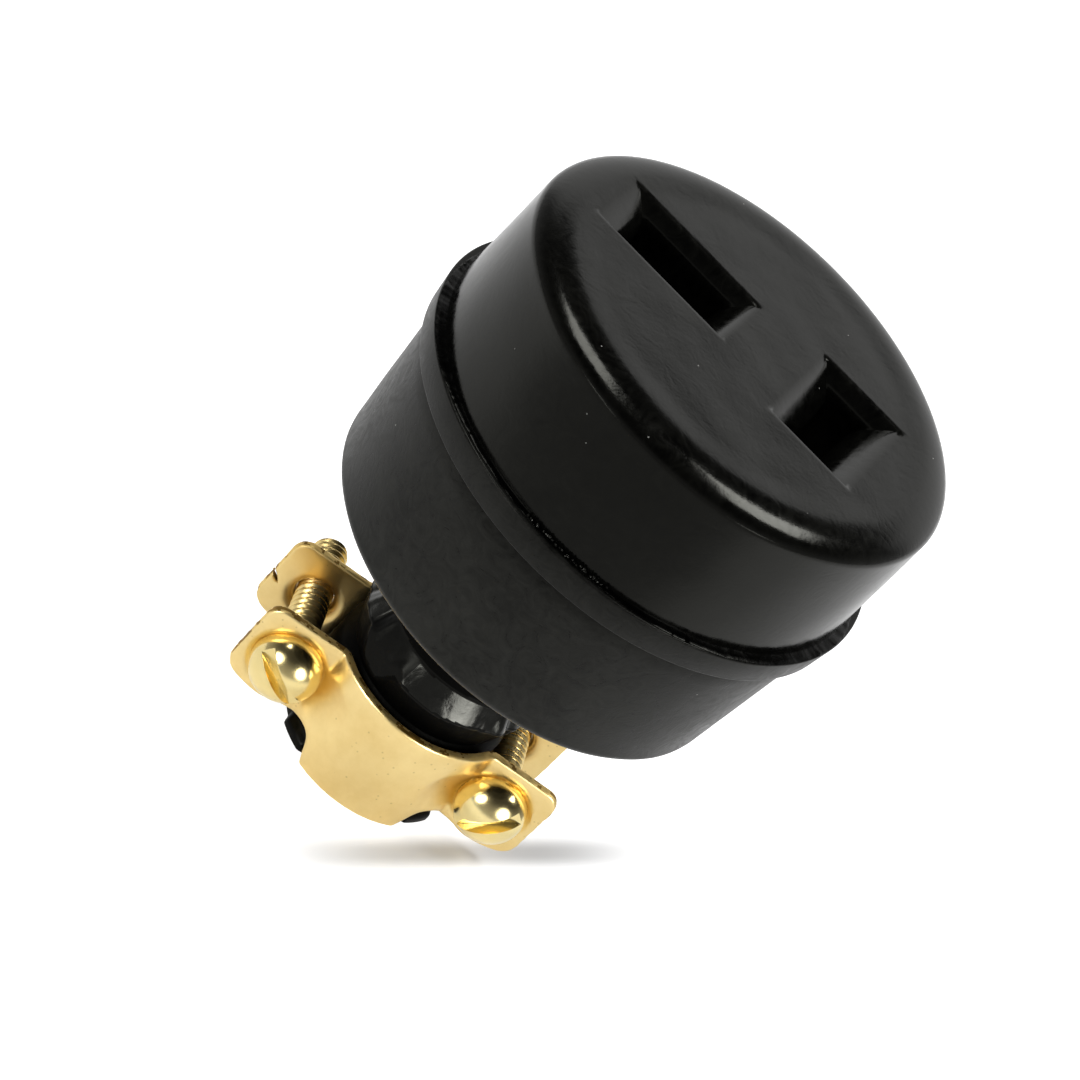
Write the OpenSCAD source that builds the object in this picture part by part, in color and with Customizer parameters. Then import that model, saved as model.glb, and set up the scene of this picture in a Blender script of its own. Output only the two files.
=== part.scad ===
// Two-pole rubber inline socket with a brass cord clamp. Millimetres.
// It stands on the open end of its neck. The origin is on its axis at that end, +Z points out of
// the mating face, and +X runs from the straight slot to the crossed slot.

/* [Front piece] */
// Radius of the front piece where its rounded edge ends
face_r = 21.75; // [20.5:0.25:23]
// How much wider the front piece is at its foot than at its face
front_flare = 0.25; // [0:0.05:0.6]
// Height of the front piece that shows above the collar
front_h = 13.6; // [12:0.2:17]
// Width of the rounded edge of the face, seen from the front
face_round_w = 3.5; // [1:0.1:4]
// Depth of the rounded edge of the face, down the side
face_round_h = 1.8; // [1.2:0.1:5]
// How far the torn flash stands out round the foot
flash_out = 0.6; // [0.2:0.05:0.85]
// Thickness of the flash
flash_t = 0.25; // [0.15:0.05:0.5]
// Thickness of the front wall between the face and the contact carrier
face_wall = 7; // [6.5:0.1:9]
// Height of the lip that holds the carrier in
lip_h = 1; // [0.6:0.1:1.4]
// How far that lip reaches in over the carrier cover
lip_w = 0.6; // [0.3:0.1:0.8]

/* [Rear shell] */
// Height of the shell from its base to its rim
shell_h = 18.2; // [17.6:0.2:22]
// Thickness of the collar lip round the front piece
collar_lip = 0.9; // [0.8:0.1:1.6]
// Height of the collar band
collar_h = 2.8; // [2.3:0.1:4]
// How much the collar narrows down to its lower edge
collar_slope = 0.3; // [0:0.05:0.5]
// Step from the lower edge of the collar in to the shell
collar_step = 0.8; // [0.4:0.1:1.2]
// How much the shell narrows down to its base
shell_taper = 1.2; // [0:0.1:2]
// Wall thickness of the shell
shell_wall = 2.4; // [1.8:0.1:2.6]
// Thickness of the shell's base
base_wall = 3; // [2:0.2:3.6]
// Radius of the rounded edge round the base
base_edge_r = 1.1; // [0.4:0.1:1.8]
// Depth of the recess that the front piece sits in
recess_h = 2; // [1.2:0.1:2.1]

/* [Cord sleeve] */
// Outside radius of the sleeve
neck_r = 9; // [8.4:0.1:9.4]
// Length of the sleeve below the shell
neck_len = 26.4; // [20:0.4:34]
// Radius of the hole for the cord
cord_bore_r = 6.8; // [5.5:0.1:7.2]
// How far the bead above the clamp stands out
bead_out = 0.5; // [0.2:0.1:0.8]
// Height of that bead
bead_h = 3.6; // [2:0.2:5]
// Gap between the straps' upper edge and the bead
bead_gap = 3; // [0.2:0.1:4]
// Radius of the flange inside the shell
flange_r = 12.5; // [11:0.5:14]
// Thickness of that flange
flange_t = 1.8; // [1:0.1:2]
// Chamfer at the sleeve's open end
neck_chamfer = 0.5; // [0.2:0.1:0.8]

/* [Blade slots] */
// Distance between the middles of the two slots
slot_spacing = 18.3; // [17.8:0.1:18.8]
// Offset of both slots across the line that joins them
slot_y = 0.8; // [0:0.1:1]
// Length of the straight slot's mouth
straight_mouth_l = 15.2; // [13:0.2:15.4]
// Width of the straight slot's mouth
straight_mouth_w = 9; // [8:0.2:10]
// Length of the crossed slot's mouth
crossed_mouth_l = 13.6; // [12:0.2:15]
// Width of the crossed slot's mouth
crossed_mouth_w = 9.6; // [8.8:0.2:10.4]
// Depth of the flared mouth
mouth_h = 1.4; // [1:0.1:2]
// How far the flare closes in at each end of the X direction
mouth_in_x = 2.1; // [1.6:0.1:2.2]
// How far the flare closes in at each end of the Y direction
mouth_in_y = 1.2; // [0.8:0.1:1.6]
// Length of each slot where it reaches the carrier
throat_l = 9.2; // [8.8:0.1:9.6]
// Width of each slot where it reaches the carrier
throat_w = 3; // [2.4:0.1:3.4]

/* [Contact carrier] */
// Radius of the carrier
carrier_r = 15.5; // [15.3:0.1:16]
// Height of the carrier
carrier_h = 12; // [11.2:0.1:12.6]
// Thickness of the carrier's top wall over the contacts
carrier_top = 1.6; // [1.2:0.1:2.2]
// Thickness of the fibre cover below the carrier
cover_t = 1.4; // [1:0.1:1.6]
// Distance of the cover screws from the axis
cover_screw_y = 11; // [10.6:0.1:11.4]
// Radius of the cover screws' thread
cover_screw_r = 1.45; // [1.2:0.05:1.6]
// Length of the cover screws under their heads
cover_screw_l = 5.6; // [4:0.2:6]
// Radius of the cover screws' heads
cover_head_r = 2.7; // [2.4:0.1:2.9]
// Height of the cover screws' heads
cover_head_h = 1.7; // [1.2:0.1:2]
// Outside radius of the threaded inserts
insert_r = 2.4; // [2.2:0.1:2.6]
// Length of the threaded inserts
insert_l = 6; // [4.8:0.2:7]

/* [Contacts] */
// Width of the contact leaves
contact_w = 8; // [7:0.2:8.4]
// Thickness of the contact brass
contact_t = 0.8; // [0.6:0.05:0.9]
// Gap between the two leaves where they grip a blade
grip_gap = 1.4; // [1.1:0.1:1.6]
// Height of the leaves over their base
leaf_h = 9; // [8:0.1:9.4]
// Half the spread of the leaves at their base
leaf_spread = 2.2; // [1.9:0.1:2.3]
// Thickness of the steel spring round the leaves
spring_t = 0.4; // [0.3:0.05:0.5]
// Width of the steel spring
spring_w = 5; // [4.6:0.2:6]
// How far the terminal screws stand in from the middles of the slots
terminal_in = 0.95; // [0.7:0.05:1.2]
// Distance of the terminal screws from the line through the axis
terminal_y = 6.4; // [6.2:0.1:6.8]
// Side of the square terminal plates
terminal_w = 6; // [5.6:0.1:6.2]
// Radius of the terminal screws' thread
terminal_r = 1.7; // [1.4:0.05:1.75]
// Length of the terminal screws under their heads
terminal_l = 5.6; // [4.6:0.1:6]
// Radius of the terminal screws' heads
terminal_head_r = 3; // [2.6:0.1:3.1]
// Height of the terminal screws' heads
terminal_head_h = 2; // [1.4:0.1:2.2]
// Thickness of the saddle washers
washer_t = 0.8; // [0.6:0.1:1]

/* [Cord clamp] */
// Turn of the clamp about the axis, from the line of the slots
clamp_turn = 17.8; // [0:0.2:60]
// Thickness of the straps
strap_t = 0.9; // [0.7:0.05:1.1]
// Height of the saddle of each strap
saddle_h = 11; // [10.4:0.2:13]
// Height of the ears of each strap
ear_h = 9; // [8.6:0.2:9.6]
// Reach of the ears from the axis
ear_reach = 16; // [15.6:0.1:18]
// Radius of the ears' corners
ear_corner_r = 1.5; // [0.8:0.1:2.4]
// Gap between the ears of the two straps
ear_gap = 9.2; // [8.6:0.1:9.8]
// Middle radius of the bend between a saddle and an ear
strap_bend_r = 1; // [0.8:0.05:1.3]
// Half the width of the tongue that reaches down to the neck's end
tongue_w = 5.8; // [5:0.1:6]
// Radius of the notch beside the tongue
notch_r = 1.2; // [0.9:0.05:1.4]
// Distance of the clamp screws from the axis
clamp_screw_u = 11.5; // [11.4:0.1:12]
// How far the clamp screws sit below the middle of the ears
clamp_screw_drop = 0.5; // [0:0.1:0.6]
// Radius of the clamp screws' thread
clamp_screw_r = 1.75; // [1.5:0.05:1.9]
// Length of the clamp screws under their heads
clamp_screw_l = 17.5; // [16:0.5:20]
// Radius of the clamp screws' heads
clamp_head_r = 3.4; // [3.1:0.05:3.5]
// Height of the rim of those heads
clamp_head_rim = 0.7; // [0.4:0.1:1]
// Height of the dome of those heads over the rim
clamp_head_dome = 2.6; // [1.8:0.1:3]
// Width of the screwdriver slots in the small screws inside
slot_w = 1; // [0.7:0.05:1.2]
// Width of the screwdriver slots in the clamp screws
clamp_slot_w = 1.3; // [0.9:0.05:1.6]
// Depth of those slots in the clamp screws
slot_h = 1.5; // [1:0.1:1.8]
// Turn of the left clamp screw's slot
left_slot_turn = -32; // [-90:1:90]
// Turn of the right clamp screw's slot
right_slot_turn = 44; // [-90:1:90]
// Depth of the dish that each clamp screw's head sits in
dish_h = 0.35; // [0.2:0.05:0.5]
// How far the threaded collars stand out behind the rear strap
collar_out = 1.8; // [1.2:0.1:2.4]
// Outside radius of those threaded collars
thread_collar_r = 3; // [2.8:0.05:3.3]

/* [Fits] */
// Clearance between pieces that fit inside one another
fit_gap = 0.1; // [0.05:0.01:0.15]

/* [Hidden] */
$fn = 64;
eps = 0.01;

// Heights above the open end of the neck
base_z = neck_len;
floor_z = base_z + base_wall;
rim_z = base_z + shell_h;
seat_z = rim_z - recess_h;
collar_z = rim_z - collar_h;
face_z = rim_z + front_h;
carrier_z1 = face_z - face_wall;
carrier_z0 = carrier_z1 - carrier_h;
cover_z0 = carrier_z0 - cover_t;
front_z0 = cover_z0 - lip_h;

// Radii of the body
foot_r = face_r + front_flare;
recess_r = foot_r + fit_gap;
rim_r = recess_r + collar_lip;
collar_low_r = rim_r - collar_slope;
shell_top_r = collar_low_r - collar_step;
shell_base_r = shell_top_r - shell_taper;
cavity_r = carrier_r + fit_gap;
sleeve_hole_r = neck_r + fit_gap;

// Inner radius of the rear shell at height z
function shell_in(z) =
    shell_base_r - shell_wall + shell_taper * (z - base_z) / (collar_z - base_z);

// Contacts
slot_x = slot_spacing / 2;
tail_t = contact_t;
tail_w = 3.2;
leaf_flare = 0.7;
leaf_grip_h = 1.6;
leaf_foot_h = 1.2;
leaf_foot_in = 0.6;
terminal_x = slot_x - terminal_in;
pocket_half = leaf_spread + contact_t + spring_t + 4 * fit_gap;
pocket_l = contact_w + 6 * fit_gap;
pocket_z1 = carrier_z1 - carrier_top;
contact_z = carrier_z0 + spring_t;
leaf_z1 = contact_z + leaf_h;
tail_y = slot_y - leaf_spread - contact_t / 2;
plate_z = cover_z0 - contact_t;
terminal_hole_r = terminal_r + 4 * fit_gap;
terminal_tip_room = 1;
washer_w = terminal_w - 1.2;
washer_lip_t = 0.5;
screw_tip_chamfer = 0.4;

// Clamp. u runs along the straps, n runs from the screw heads to the screw tips.
saddle_in_r = neck_r + fit_gap;
saddle_mid_r = saddle_in_r + strap_t / 2;
ear_in_n = ear_gap / 2;
ear_out_n = ear_in_n + strap_t;
ear_mid_n = ear_in_n + strap_t / 2;
bend_n = ear_mid_n + strap_bend_r;
bend_u = sqrt(pow(saddle_mid_r + strap_bend_r, 2) - pow(bend_n, 2));
bend_a = atan2(bend_n, bend_u);
ear_z0 = saddle_h - ear_h;
clamp_screw_z = saddle_h - ear_h / 2 - clamp_screw_drop;
notch_u = tongue_w + notch_r;
head_seat_n = -ear_out_n + dish_h;

// Points of an arc about c, from angle a0 to a1, in steps of about 6 degrees
function arc(c, r, a0, a1) =
    let (n = max(2, ceil(abs(a1 - a0) / 6)))
    [for (i = [0 : n]) let (a = a0 + (a1 - a0) * i / n) c + r * [cos(a), sin(a)]];

function reversed(p) = [for (i = [len(p) - 1 : -1 : 0]) p[i]];

// Points of one side of a bent strip: each point of the path moved by d across it
function strip_side(p, d) = [
    for (i = [0 : len(p) - 1])
        let (a = p[max(i - 1, 0)], b = p[i], c = p[min(i + 1, len(p) - 1)])
        let (u = i == 0 ? (c - b) / norm(c - b) : (b - a) / norm(b - a))
        let (v = i == len(p) - 1 ? u : (c - b) / norm(c - b))
        let (m = [-u[1] - v[1], u[0] + v[0]])
        b + d * m / (1 + u * v)
];

// Outline of a strip of thickness t that follows the path p
function strip_outline(p, t) = concat(strip_side(p, t / 2), reversed(strip_side(p, -t / 2)));

// A straight-sided funnel from a mouth of size a down to a hole of size b, h deep
module funnel(a, b, h) {
    over = 0.02;
    grow = over / h;
    intersection() {
        rotate([90, 0, 0])
            linear_extrude(2 * a[1], center = true)
                polygon([
                    [-b[0] / 2, -h], [b[0] / 2, -h],
                    [a[0] / 2 + grow * (a[0] - b[0]) / 2, over],
                    [-a[0] / 2 - grow * (a[0] - b[0]) / 2, over]
                ]);
        rotate([90, 0, 90])
            linear_extrude(2 * a[0], center = true)
                polygon([
                    [-b[1] / 2, -h], [b[1] / 2, -h],
                    [a[1] / 2 + grow * (a[1] - b[1]) / 2, over],
                    [-a[1] / 2 - grow * (a[1] - b[1]) / 2, over]
                ]);
    }
}

// One blade slot through the front wall: a flared mouth, then a long taper to the throat
module blade_slot(mouth, throat) {
    hole = mouth - 2 * [mouth_in_x, mouth_in_y];
    funnel(mouth, hole, mouth_h);
    translate([0, 0, -mouth_h]) funnel(hole, throat, face_wall - mouth_h + eps);
}

// Places its children at the straight slot, or at the crossed slot
module at_straight() { translate([-slot_x, slot_y, 0]) children(); }
module at_crossed() { translate([slot_x, slot_y, 0]) children(); }

// The room that the front piece's lip leaves round a terminal plate and its washer
module terminal_room(side) {
    plate_half = terminal_w / 2 + fit_gap;
    washer_half = plate_half + washer_lip_t + fit_gap;
    washer_side = washer_w / 2 + fit_gap;
    translate([side * terminal_x, -terminal_y, front_z0 - eps]) {
        translate([-plate_half, -plate_half, 0])
            cube([2 * plate_half, 2 * plate_half, lip_h + eps]);
        translate([-washer_half, -washer_side, 0])
            cube([2 * washer_half, 2 * washer_side, lip_h + eps]);
    }
}

module front_insulator() {
    color([0.24, 0.24, 0.235])
        difference() {
            rotate_extrude($fn = 128)
                polygon(concat(
                    [
                        [cavity_r, carrier_z1], [cavity_r, cover_z0],
                        [cavity_r - lip_w, cover_z0], [cavity_r - lip_w, front_z0],
                        [shell_in(front_z0) - fit_gap, front_z0],
                        [shell_in(seat_z) - fit_gap, seat_z],
                        [foot_r, seat_z], [foot_r, rim_z],
                        [foot_r + flash_out, rim_z], [foot_r + flash_out, rim_z + flash_t],
                        [foot_r, rim_z + flash_t]
                    ],
                    [
                        for (a = [0 : 10 : 90])
                            [face_r - face_round_w * (1 - cos(a)), face_z - face_round_h * (1 - sin(a))]
                    ],
                    [[0, face_z], [0, carrier_z1]]
                ));
            translate([0, 0, face_z]) {
                at_straight() blade_slot([straight_mouth_l, straight_mouth_w], [throat_l, throat_w]);
                at_crossed() blade_slot([crossed_mouth_w, crossed_mouth_l], [throat_w, throat_l]);
            }
            for (side = [-1, 1]) terminal_room(side);
        }
}

module rear_shell() {
    color([0.17, 0.17, 0.165])
        rotate_extrude($fn = 128)
            polygon(concat(
                [[sleeve_hole_r, base_z]],
                arc([shell_base_r - base_edge_r, base_z + base_edge_r], base_edge_r, -90, 0),
                [
                    [shell_top_r, collar_z], [collar_low_r, collar_z],
                    [rim_r, rim_z], [recess_r, rim_z], [recess_r, seat_z],
                    [shell_in(seat_z), seat_z], [shell_in(floor_z), floor_z],
                    [sleeve_hole_r, floor_z]
                ]
            ));
}

module cord_sleeve() {
    bead_z = saddle_h + bead_gap + bead_h / 2;
    color([0.08, 0.08, 0.08])
        rotate_extrude($fn = 96)
            polygon(concat(
                [
                    [cord_bore_r, neck_chamfer], [cord_bore_r + neck_chamfer, 0],
                    [neck_r - neck_chamfer, 0], [neck_r, neck_chamfer]
                ],
                [
                    for (a = [-90 : 15 : 90])
                        [neck_r + bead_out * cos(a), bead_z + bead_h / 2 * sin(a)]
                ],
                [
                    [neck_r, floor_z], [flange_r, floor_z],
                    [flange_r, floor_z + flange_t], [cord_bore_r, floor_z + flange_t]
                ]
            ));
}

module contact_carrier() {
    color([0.32, 0.2, 0.13])
        difference() {
            translate([0, 0, carrier_z0]) cylinder(r = carrier_r, h = carrier_h);
            for (turned = [0, 1])
                translate([turned ? slot_x : -slot_x, slot_y, 0]) rotate(90 * turned) {
                    translate([-pocket_l / 2, -pocket_half, carrier_z0 - eps])
                        cube([pocket_l, 2 * pocket_half, pocket_z1 - carrier_z0 + eps]);
                    translate([-throat_l / 2, -throat_w / 2, pocket_z1 - eps])
                        cube([throat_l, throat_w, carrier_top + 2 * eps]);
                }
            for (side = [-1, 1]) {
                translate([side * terminal_x, -terminal_y, carrier_z0 - eps])
                    cylinder(
                        r = terminal_hole_r,
                        h = terminal_l - cover_t - contact_t - washer_t + terminal_tip_room
                    );
                translate([0, side * cover_screw_y, carrier_z0 - eps])
                    cylinder(r = insert_r + fit_gap / 2, h = insert_l + eps);
            }
        }
}

module carrier_cover() {
    color([0.55, 0.3, 0.16])
        translate([0, 0, cover_z0])
            difference() {
                cylinder(r = carrier_r, h = cover_t);
                for (side = [-1, 1]) {
                    translate([side * terminal_x, -terminal_y, -eps])
                        cylinder(r = terminal_hole_r, h = cover_t + 2 * eps);
                    translate([0, side * cover_screw_y, -eps])
                        cylinder(r = cover_screw_r + fit_gap, h = cover_t + 2 * eps);
                    translate([
                        side * terminal_x - tail_w / 2 - fit_gap, tail_y - fit_gap, -eps
                    ])
                        cube([tail_w + 2 * fit_gap, tail_t + 2 * fit_gap, cover_t + 2 * eps]);
                }
            }
}

// Middle line of the folded leaves, across the blade
function leaf_path() =
    let (s = leaf_spread, g = (grip_gap + contact_t) / 2, z = contact_z + contact_t / 2)
    [
        [-g - leaf_flare, leaf_z1], [-g, leaf_z1 - leaf_grip_h],
        [-s, z + leaf_foot_h], [-s + leaf_foot_in, z],
        [s - leaf_foot_in, z], [s, z + leaf_foot_h],
        [g, leaf_z1 - leaf_grip_h], [g + leaf_flare, leaf_z1]
    ];

// Middle line of the steel spring that backs the leaves
function spring_path() =
    let (o = (contact_t + spring_t) / 2 + fit_gap, s = leaf_spread + o)
    let (g = (grip_gap + contact_t) / 2 + o, z = carrier_z0 + spring_t / 2)
    let (foot_z = z + leaf_foot_h + 5 * fit_gap, foot_in = leaf_foot_in + fit_gap)
    [
        [-g, leaf_z1 - leaf_grip_h], [-s, foot_z], [-s + foot_in, z],
        [s - foot_in, z], [s, foot_z], [g, leaf_z1 - leaf_grip_h]
    ];

// A bent strip of width w, which runs along X
module bent_strip(path, t, w) {
    rotate([90, 0, 90])
        linear_extrude(w, center = true)
            polygon(strip_outline(path, t));
}

// The tail that goes down through the cover, and the terminal plate under it
module contact_tail(side) {
    translate([side * terminal_x - tail_w / 2, tail_y, plate_z])
        cube([tail_w, tail_t, contact_z + contact_t - plate_z]);
    difference() {
        translate([side * terminal_x - terminal_w / 2, -terminal_y - terminal_w / 2, plate_z])
            cube([terminal_w, tail_y + tail_t + terminal_y + terminal_w / 2, contact_t]);
        translate([side * terminal_x, -terminal_y, plate_z - eps])
            cylinder(r = terminal_r + fit_gap / 2, h = contact_t + 2 * eps);
    }
}

// The opening that the spring's base leaves for that tail
module tail_gap(side) {
    translate([
        side * terminal_x - tail_w / 2 - fit_gap, tail_y - 1, carrier_z0 - eps
    ])
        cube([tail_w + 2 * fit_gap, tail_t + 1 + fit_gap, spring_t + 1]);
}

module straight_contact() {
    color([0.8, 0.65, 0.3]) {
        at_straight() bent_strip(leaf_path(), contact_t, contact_w);
        contact_tail(-1);
    }
}

module crossed_contact() {
    color([0.8, 0.65, 0.3]) {
        at_crossed() rotate(90) bent_strip(leaf_path(), contact_t, contact_w);
        contact_tail(1);
    }
}

module straight_spring() {
    color([0.6, 0.61, 0.62])
        difference() {
            at_straight() bent_strip(spring_path(), spring_t, spring_w);
            tail_gap(-1);
        }
}

module crossed_spring() {
    color([0.6, 0.61, 0.62])
        difference() {
            at_crossed() rotate(90) bent_strip(spring_path(), spring_t, spring_w);
            tail_gap(1);
        }
}

// A slotted cheese-head screw that points up, with the top of its head at z = 0
module cheese_screw(r, l, head_r, head_h) {
    difference() {
        union() {
            translate([0, 0, -head_h]) cylinder(r = head_r, h = head_h);
            cylinder(r = r, h = l);
        }
        translate([-head_r - 1, -slot_w / 2, -head_h - eps])
            cube([2 * head_r + 2, slot_w, head_h / 2]);
    }
}

module terminal_screw(side) {
    color([0.78, 0.62, 0.28])
        translate([side * terminal_x, -terminal_y, plate_z - washer_t])
            rotate(30 * side) cheese_screw(terminal_r, terminal_l, terminal_head_r, terminal_head_h);
}

module straight_terminal_screw() { terminal_screw(-1); }
module crossed_terminal_screw() { terminal_screw(1); }

// A square washer with two turned-up lips that keep the wire strands under it
module saddle_washer(side) {
    half = terminal_w / 2 + fit_gap;
    t = washer_lip_t;
    color([0.72, 0.72, 0.7])
        translate([side * terminal_x, -terminal_y, plate_z - washer_t])
            difference() {
                union() {
                    translate([-half - t, -washer_w / 2, 0])
                        cube([2 * half + 2 * t, washer_w, washer_t]);
                    for (end = [-1, 1])
                        translate([end * (half + t / 2) - t / 2, -washer_w / 2, 0])
                            cube([t, washer_w, washer_t + contact_t - fit_gap]);
                }
                translate([0, 0, -eps]) cylinder(r = terminal_r + fit_gap, h = washer_t + 2 * eps);
            }
}

module straight_saddle_washer() { saddle_washer(-1); }
module crossed_saddle_washer() { saddle_washer(1); }

module cover_screw(side) {
    color([0.78, 0.62, 0.28])
        translate([0, side * cover_screw_y, cover_z0])
            cheese_screw(cover_screw_r, cover_screw_l, cover_head_r, cover_head_h);
}

module cover_screw_near() { cover_screw(-1); }
module cover_screw_far() { cover_screw(1); }

module cover_insert(side) {
    color([0.8, 0.65, 0.3])
        translate([0, side * cover_screw_y, carrier_z0])
            difference() {
                cylinder(r = insert_r, h = insert_l);
                translate([0, 0, -eps])
                    cylinder(r = cover_screw_r + fit_gap / 2, h = insert_l + 2 * eps);
            }
}

module cover_insert_near() { cover_insert(-1); }
module cover_insert_far() { cover_insert(1); }

// Right half of one side of a strap's profile, from the saddle's middle out to the ear's end
function strap_half(d) = concat(
    arc([0, 0], saddle_mid_r + d, -90, -bend_a),
    arc([bend_u, -bend_n], strap_bend_r - d, 180 - bend_a, 90),
    [[ear_reach, -ear_mid_n - d]]
);

function flipped(p) = [for (q = p) [-q[0], q[1]]];

// Profile of a bent strap, seen from the end of the neck
module strap_profile() {
    outer = strap_half(strap_t / 2);
    inner = strap_half(-strap_t / 2);
    polygon(concat(
        reversed(flipped(outer)), [for (i = [1 : len(outer) - 1]) outer[i]],
        reversed(inner), [for (i = [1 : len(inner) - 1]) flipped(inner)[i]]
    ));
}

// Outline of the flat strap, seen from the front
module strap_outline() {
    r = ear_corner_r;
    difference() {
        union() {
            for (x = [-ear_reach + r, ear_reach - r], y = [ear_z0 + r, saddle_h - r])
                translate([x, y]) circle(r);
            translate([-ear_reach + r, ear_z0]) square([2 * ear_reach - 2 * r, ear_h]);
            translate([-ear_reach, ear_z0 + r]) square([2 * ear_reach, ear_h - 2 * r]);
            translate([-notch_u, 0]) square([2 * notch_u, saddle_h]);
        }
        for (side = [-1, 1]) {
            translate([side * notch_u, ear_z0 - notch_r / 3]) circle(notch_r);
            translate([side * notch_u - notch_r, -1])
                square([2 * notch_r, 1 + ear_z0 - notch_r / 3]);
        }
    }
}

// The bent strap before its holes are made, on the side of the screw heads
module bent_strap() {
    intersection() {
        linear_extrude(saddle_h) strap_profile();
        rotate([90, 0, 0]) linear_extrude(3 * neck_r) strap_outline();
    }
}

// Turns its children to the clamp's own direction, at the height of the clamp screws
module at_clamp_screw(side) {
    rotate(clamp_turn) translate([side * clamp_screw_u, 0, clamp_screw_z]) rotate([-90, 0, 0]) children();
}

module clamp_front_strap() {
    dish_r = clamp_head_r + fit_gap;
    color([0.83, 0.68, 0.32])
        difference() {
            union() {
                rotate(clamp_turn) bent_strap();
                for (side = [-1, 1])
                    at_clamp_screw(side)
                        translate([0, 0, -ear_in_n - eps])
                            cylinder(r1 = dish_r + dish_h, r2 = dish_r, h = dish_h + eps);
            }
            for (side = [-1, 1])
                at_clamp_screw(side) {
                    translate([0, 0, -ear_out_n - 2]) cylinder(r = dish_r, h = 2 + dish_h);
                    translate([0, 0, -ear_out_n - eps])
                        cylinder(r1 = dish_r + dish_h + eps, r2 = dish_r, h = dish_h + eps);
                    translate([0, 0, -ear_out_n])
                        cylinder(r = clamp_screw_r + fit_gap, h = 2 * strap_t + dish_h);
                }
            translate([0, 0, -eps]) cylinder(r = saddle_in_r, h = saddle_h + 2 * eps);
        }
}

module clamp_rear_strap() {
    tip_r = thread_collar_r - strap_t / 3;
    mouth_r = thread_collar_r + strap_t / 3;
    color([0.83, 0.68, 0.32])
        difference() {
            union() {
                rotate(clamp_turn) mirror([0, 1, 0]) bent_strap();
                for (side = [-1, 1])
                    at_clamp_screw(side)
                        translate([0, 0, ear_out_n - eps])
                            cylinder(r1 = thread_collar_r, r2 = tip_r, h = collar_out + eps);
            }
            for (side = [-1, 1])
                at_clamp_screw(side) {
                    translate([0, 0, ear_in_n - eps])
                        cylinder(r1 = mouth_r, r2 = clamp_screw_r + fit_gap, h = collar_out);
                    translate([0, 0, ear_in_n - eps])
                        cylinder(r = clamp_screw_r + fit_gap / 2, h = strap_t + collar_out + 2);
                }
        }
}

// A slotted round-head screw along +Z, with the underside of its head at z = 0
module round_screw(turn) {
    difference() {
        union() {
            cylinder(r = clamp_screw_r, h = clamp_screw_l - screw_tip_chamfer);
            translate([0, 0, clamp_screw_l - screw_tip_chamfer])
                cylinder(
                    r1 = clamp_screw_r, r2 = clamp_screw_r - screw_tip_chamfer,
                    h = screw_tip_chamfer
                );
            rotate_extrude()
                polygon(concat(
                    [[0, 0], [clamp_head_r, 0]],
                    [
                        for (a = [0 : 7.5 : 90])
                            [clamp_head_r * cos(a), -clamp_head_rim - clamp_head_dome * sin(a)]
                    ]
                ));
        }
        rotate(turn)
            translate([
                -clamp_head_r - 1, -clamp_slot_w / 2, -clamp_head_rim - clamp_head_dome - 1
            ])
                cube([2 * clamp_head_r + 2, clamp_slot_w, slot_h + 1]);
    }
}

module clamp_screw(side, turn) {
    color([0.8, 0.64, 0.28])
        at_clamp_screw(side) translate([0, 0, head_seat_n]) round_screw(-turn);
}

module clamp_screw_left() { clamp_screw(-1, left_slot_turn); }
module clamp_screw_right() { clamp_screw(1, right_slot_turn); }

front_insulator();
rear_shell();
cord_sleeve();
contact_carrier();
carrier_cover();
straight_contact();
crossed_contact();
straight_spring();
crossed_spring();
straight_terminal_screw();
crossed_terminal_screw();
straight_saddle_washer();
crossed_saddle_washer();
cover_screw_near();
cover_screw_far();
cover_insert_near();
cover_insert_far();
clamp_front_strap();
clamp_rear_strap();
clamp_screw_left();
clamp_screw_right();
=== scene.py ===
# %% [markdown]
# # A rubber inline socket, dressed for the camera
#
# The real object is a cord connector: a black rubber front piece with two blade slots, pressed into a
# tapered rubber shell, a short rubber neck for the cord, and a clamp of two brass straps and two screws.
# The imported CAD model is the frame. It already holds every piece at its true size, so this script only
# replaces what the eye meets first with finer meshes, and paints the rest. The first lines load it.

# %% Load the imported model
from collections import namedtuple
import math

import bmesh
import bpy
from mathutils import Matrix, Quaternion, Vector, geometry, noise


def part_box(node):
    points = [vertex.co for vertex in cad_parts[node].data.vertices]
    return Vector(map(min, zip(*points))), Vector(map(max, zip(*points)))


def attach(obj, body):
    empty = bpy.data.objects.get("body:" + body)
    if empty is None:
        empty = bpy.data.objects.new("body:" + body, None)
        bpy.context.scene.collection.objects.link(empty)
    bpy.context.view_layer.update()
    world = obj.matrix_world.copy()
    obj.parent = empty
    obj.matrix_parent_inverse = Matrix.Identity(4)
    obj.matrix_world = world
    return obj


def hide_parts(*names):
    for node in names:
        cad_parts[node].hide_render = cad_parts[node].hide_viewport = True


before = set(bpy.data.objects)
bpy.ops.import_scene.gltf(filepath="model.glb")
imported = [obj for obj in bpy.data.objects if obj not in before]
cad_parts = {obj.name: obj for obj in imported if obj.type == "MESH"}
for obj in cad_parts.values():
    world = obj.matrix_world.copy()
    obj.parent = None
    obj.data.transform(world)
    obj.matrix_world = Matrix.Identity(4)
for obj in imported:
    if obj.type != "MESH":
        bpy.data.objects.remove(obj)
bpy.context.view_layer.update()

MM = 0.001
print("CAD nodes:", len(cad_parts))

# %% [markdown]
# ## Where things are
#
# Lengths below are millimetres. The outer places are read from the frame, so they can't drift away from
# the solids. What the frame can't tell, such as the width of a rounded edge, is a named value.

# %% Read the places from the frame
front_low, front_high = (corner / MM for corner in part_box("front_insulator"))
shell_low, shell_high = (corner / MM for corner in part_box("rear_shell"))
STRAP_H = (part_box("clamp_front_strap")[1] / MM).z

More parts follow.
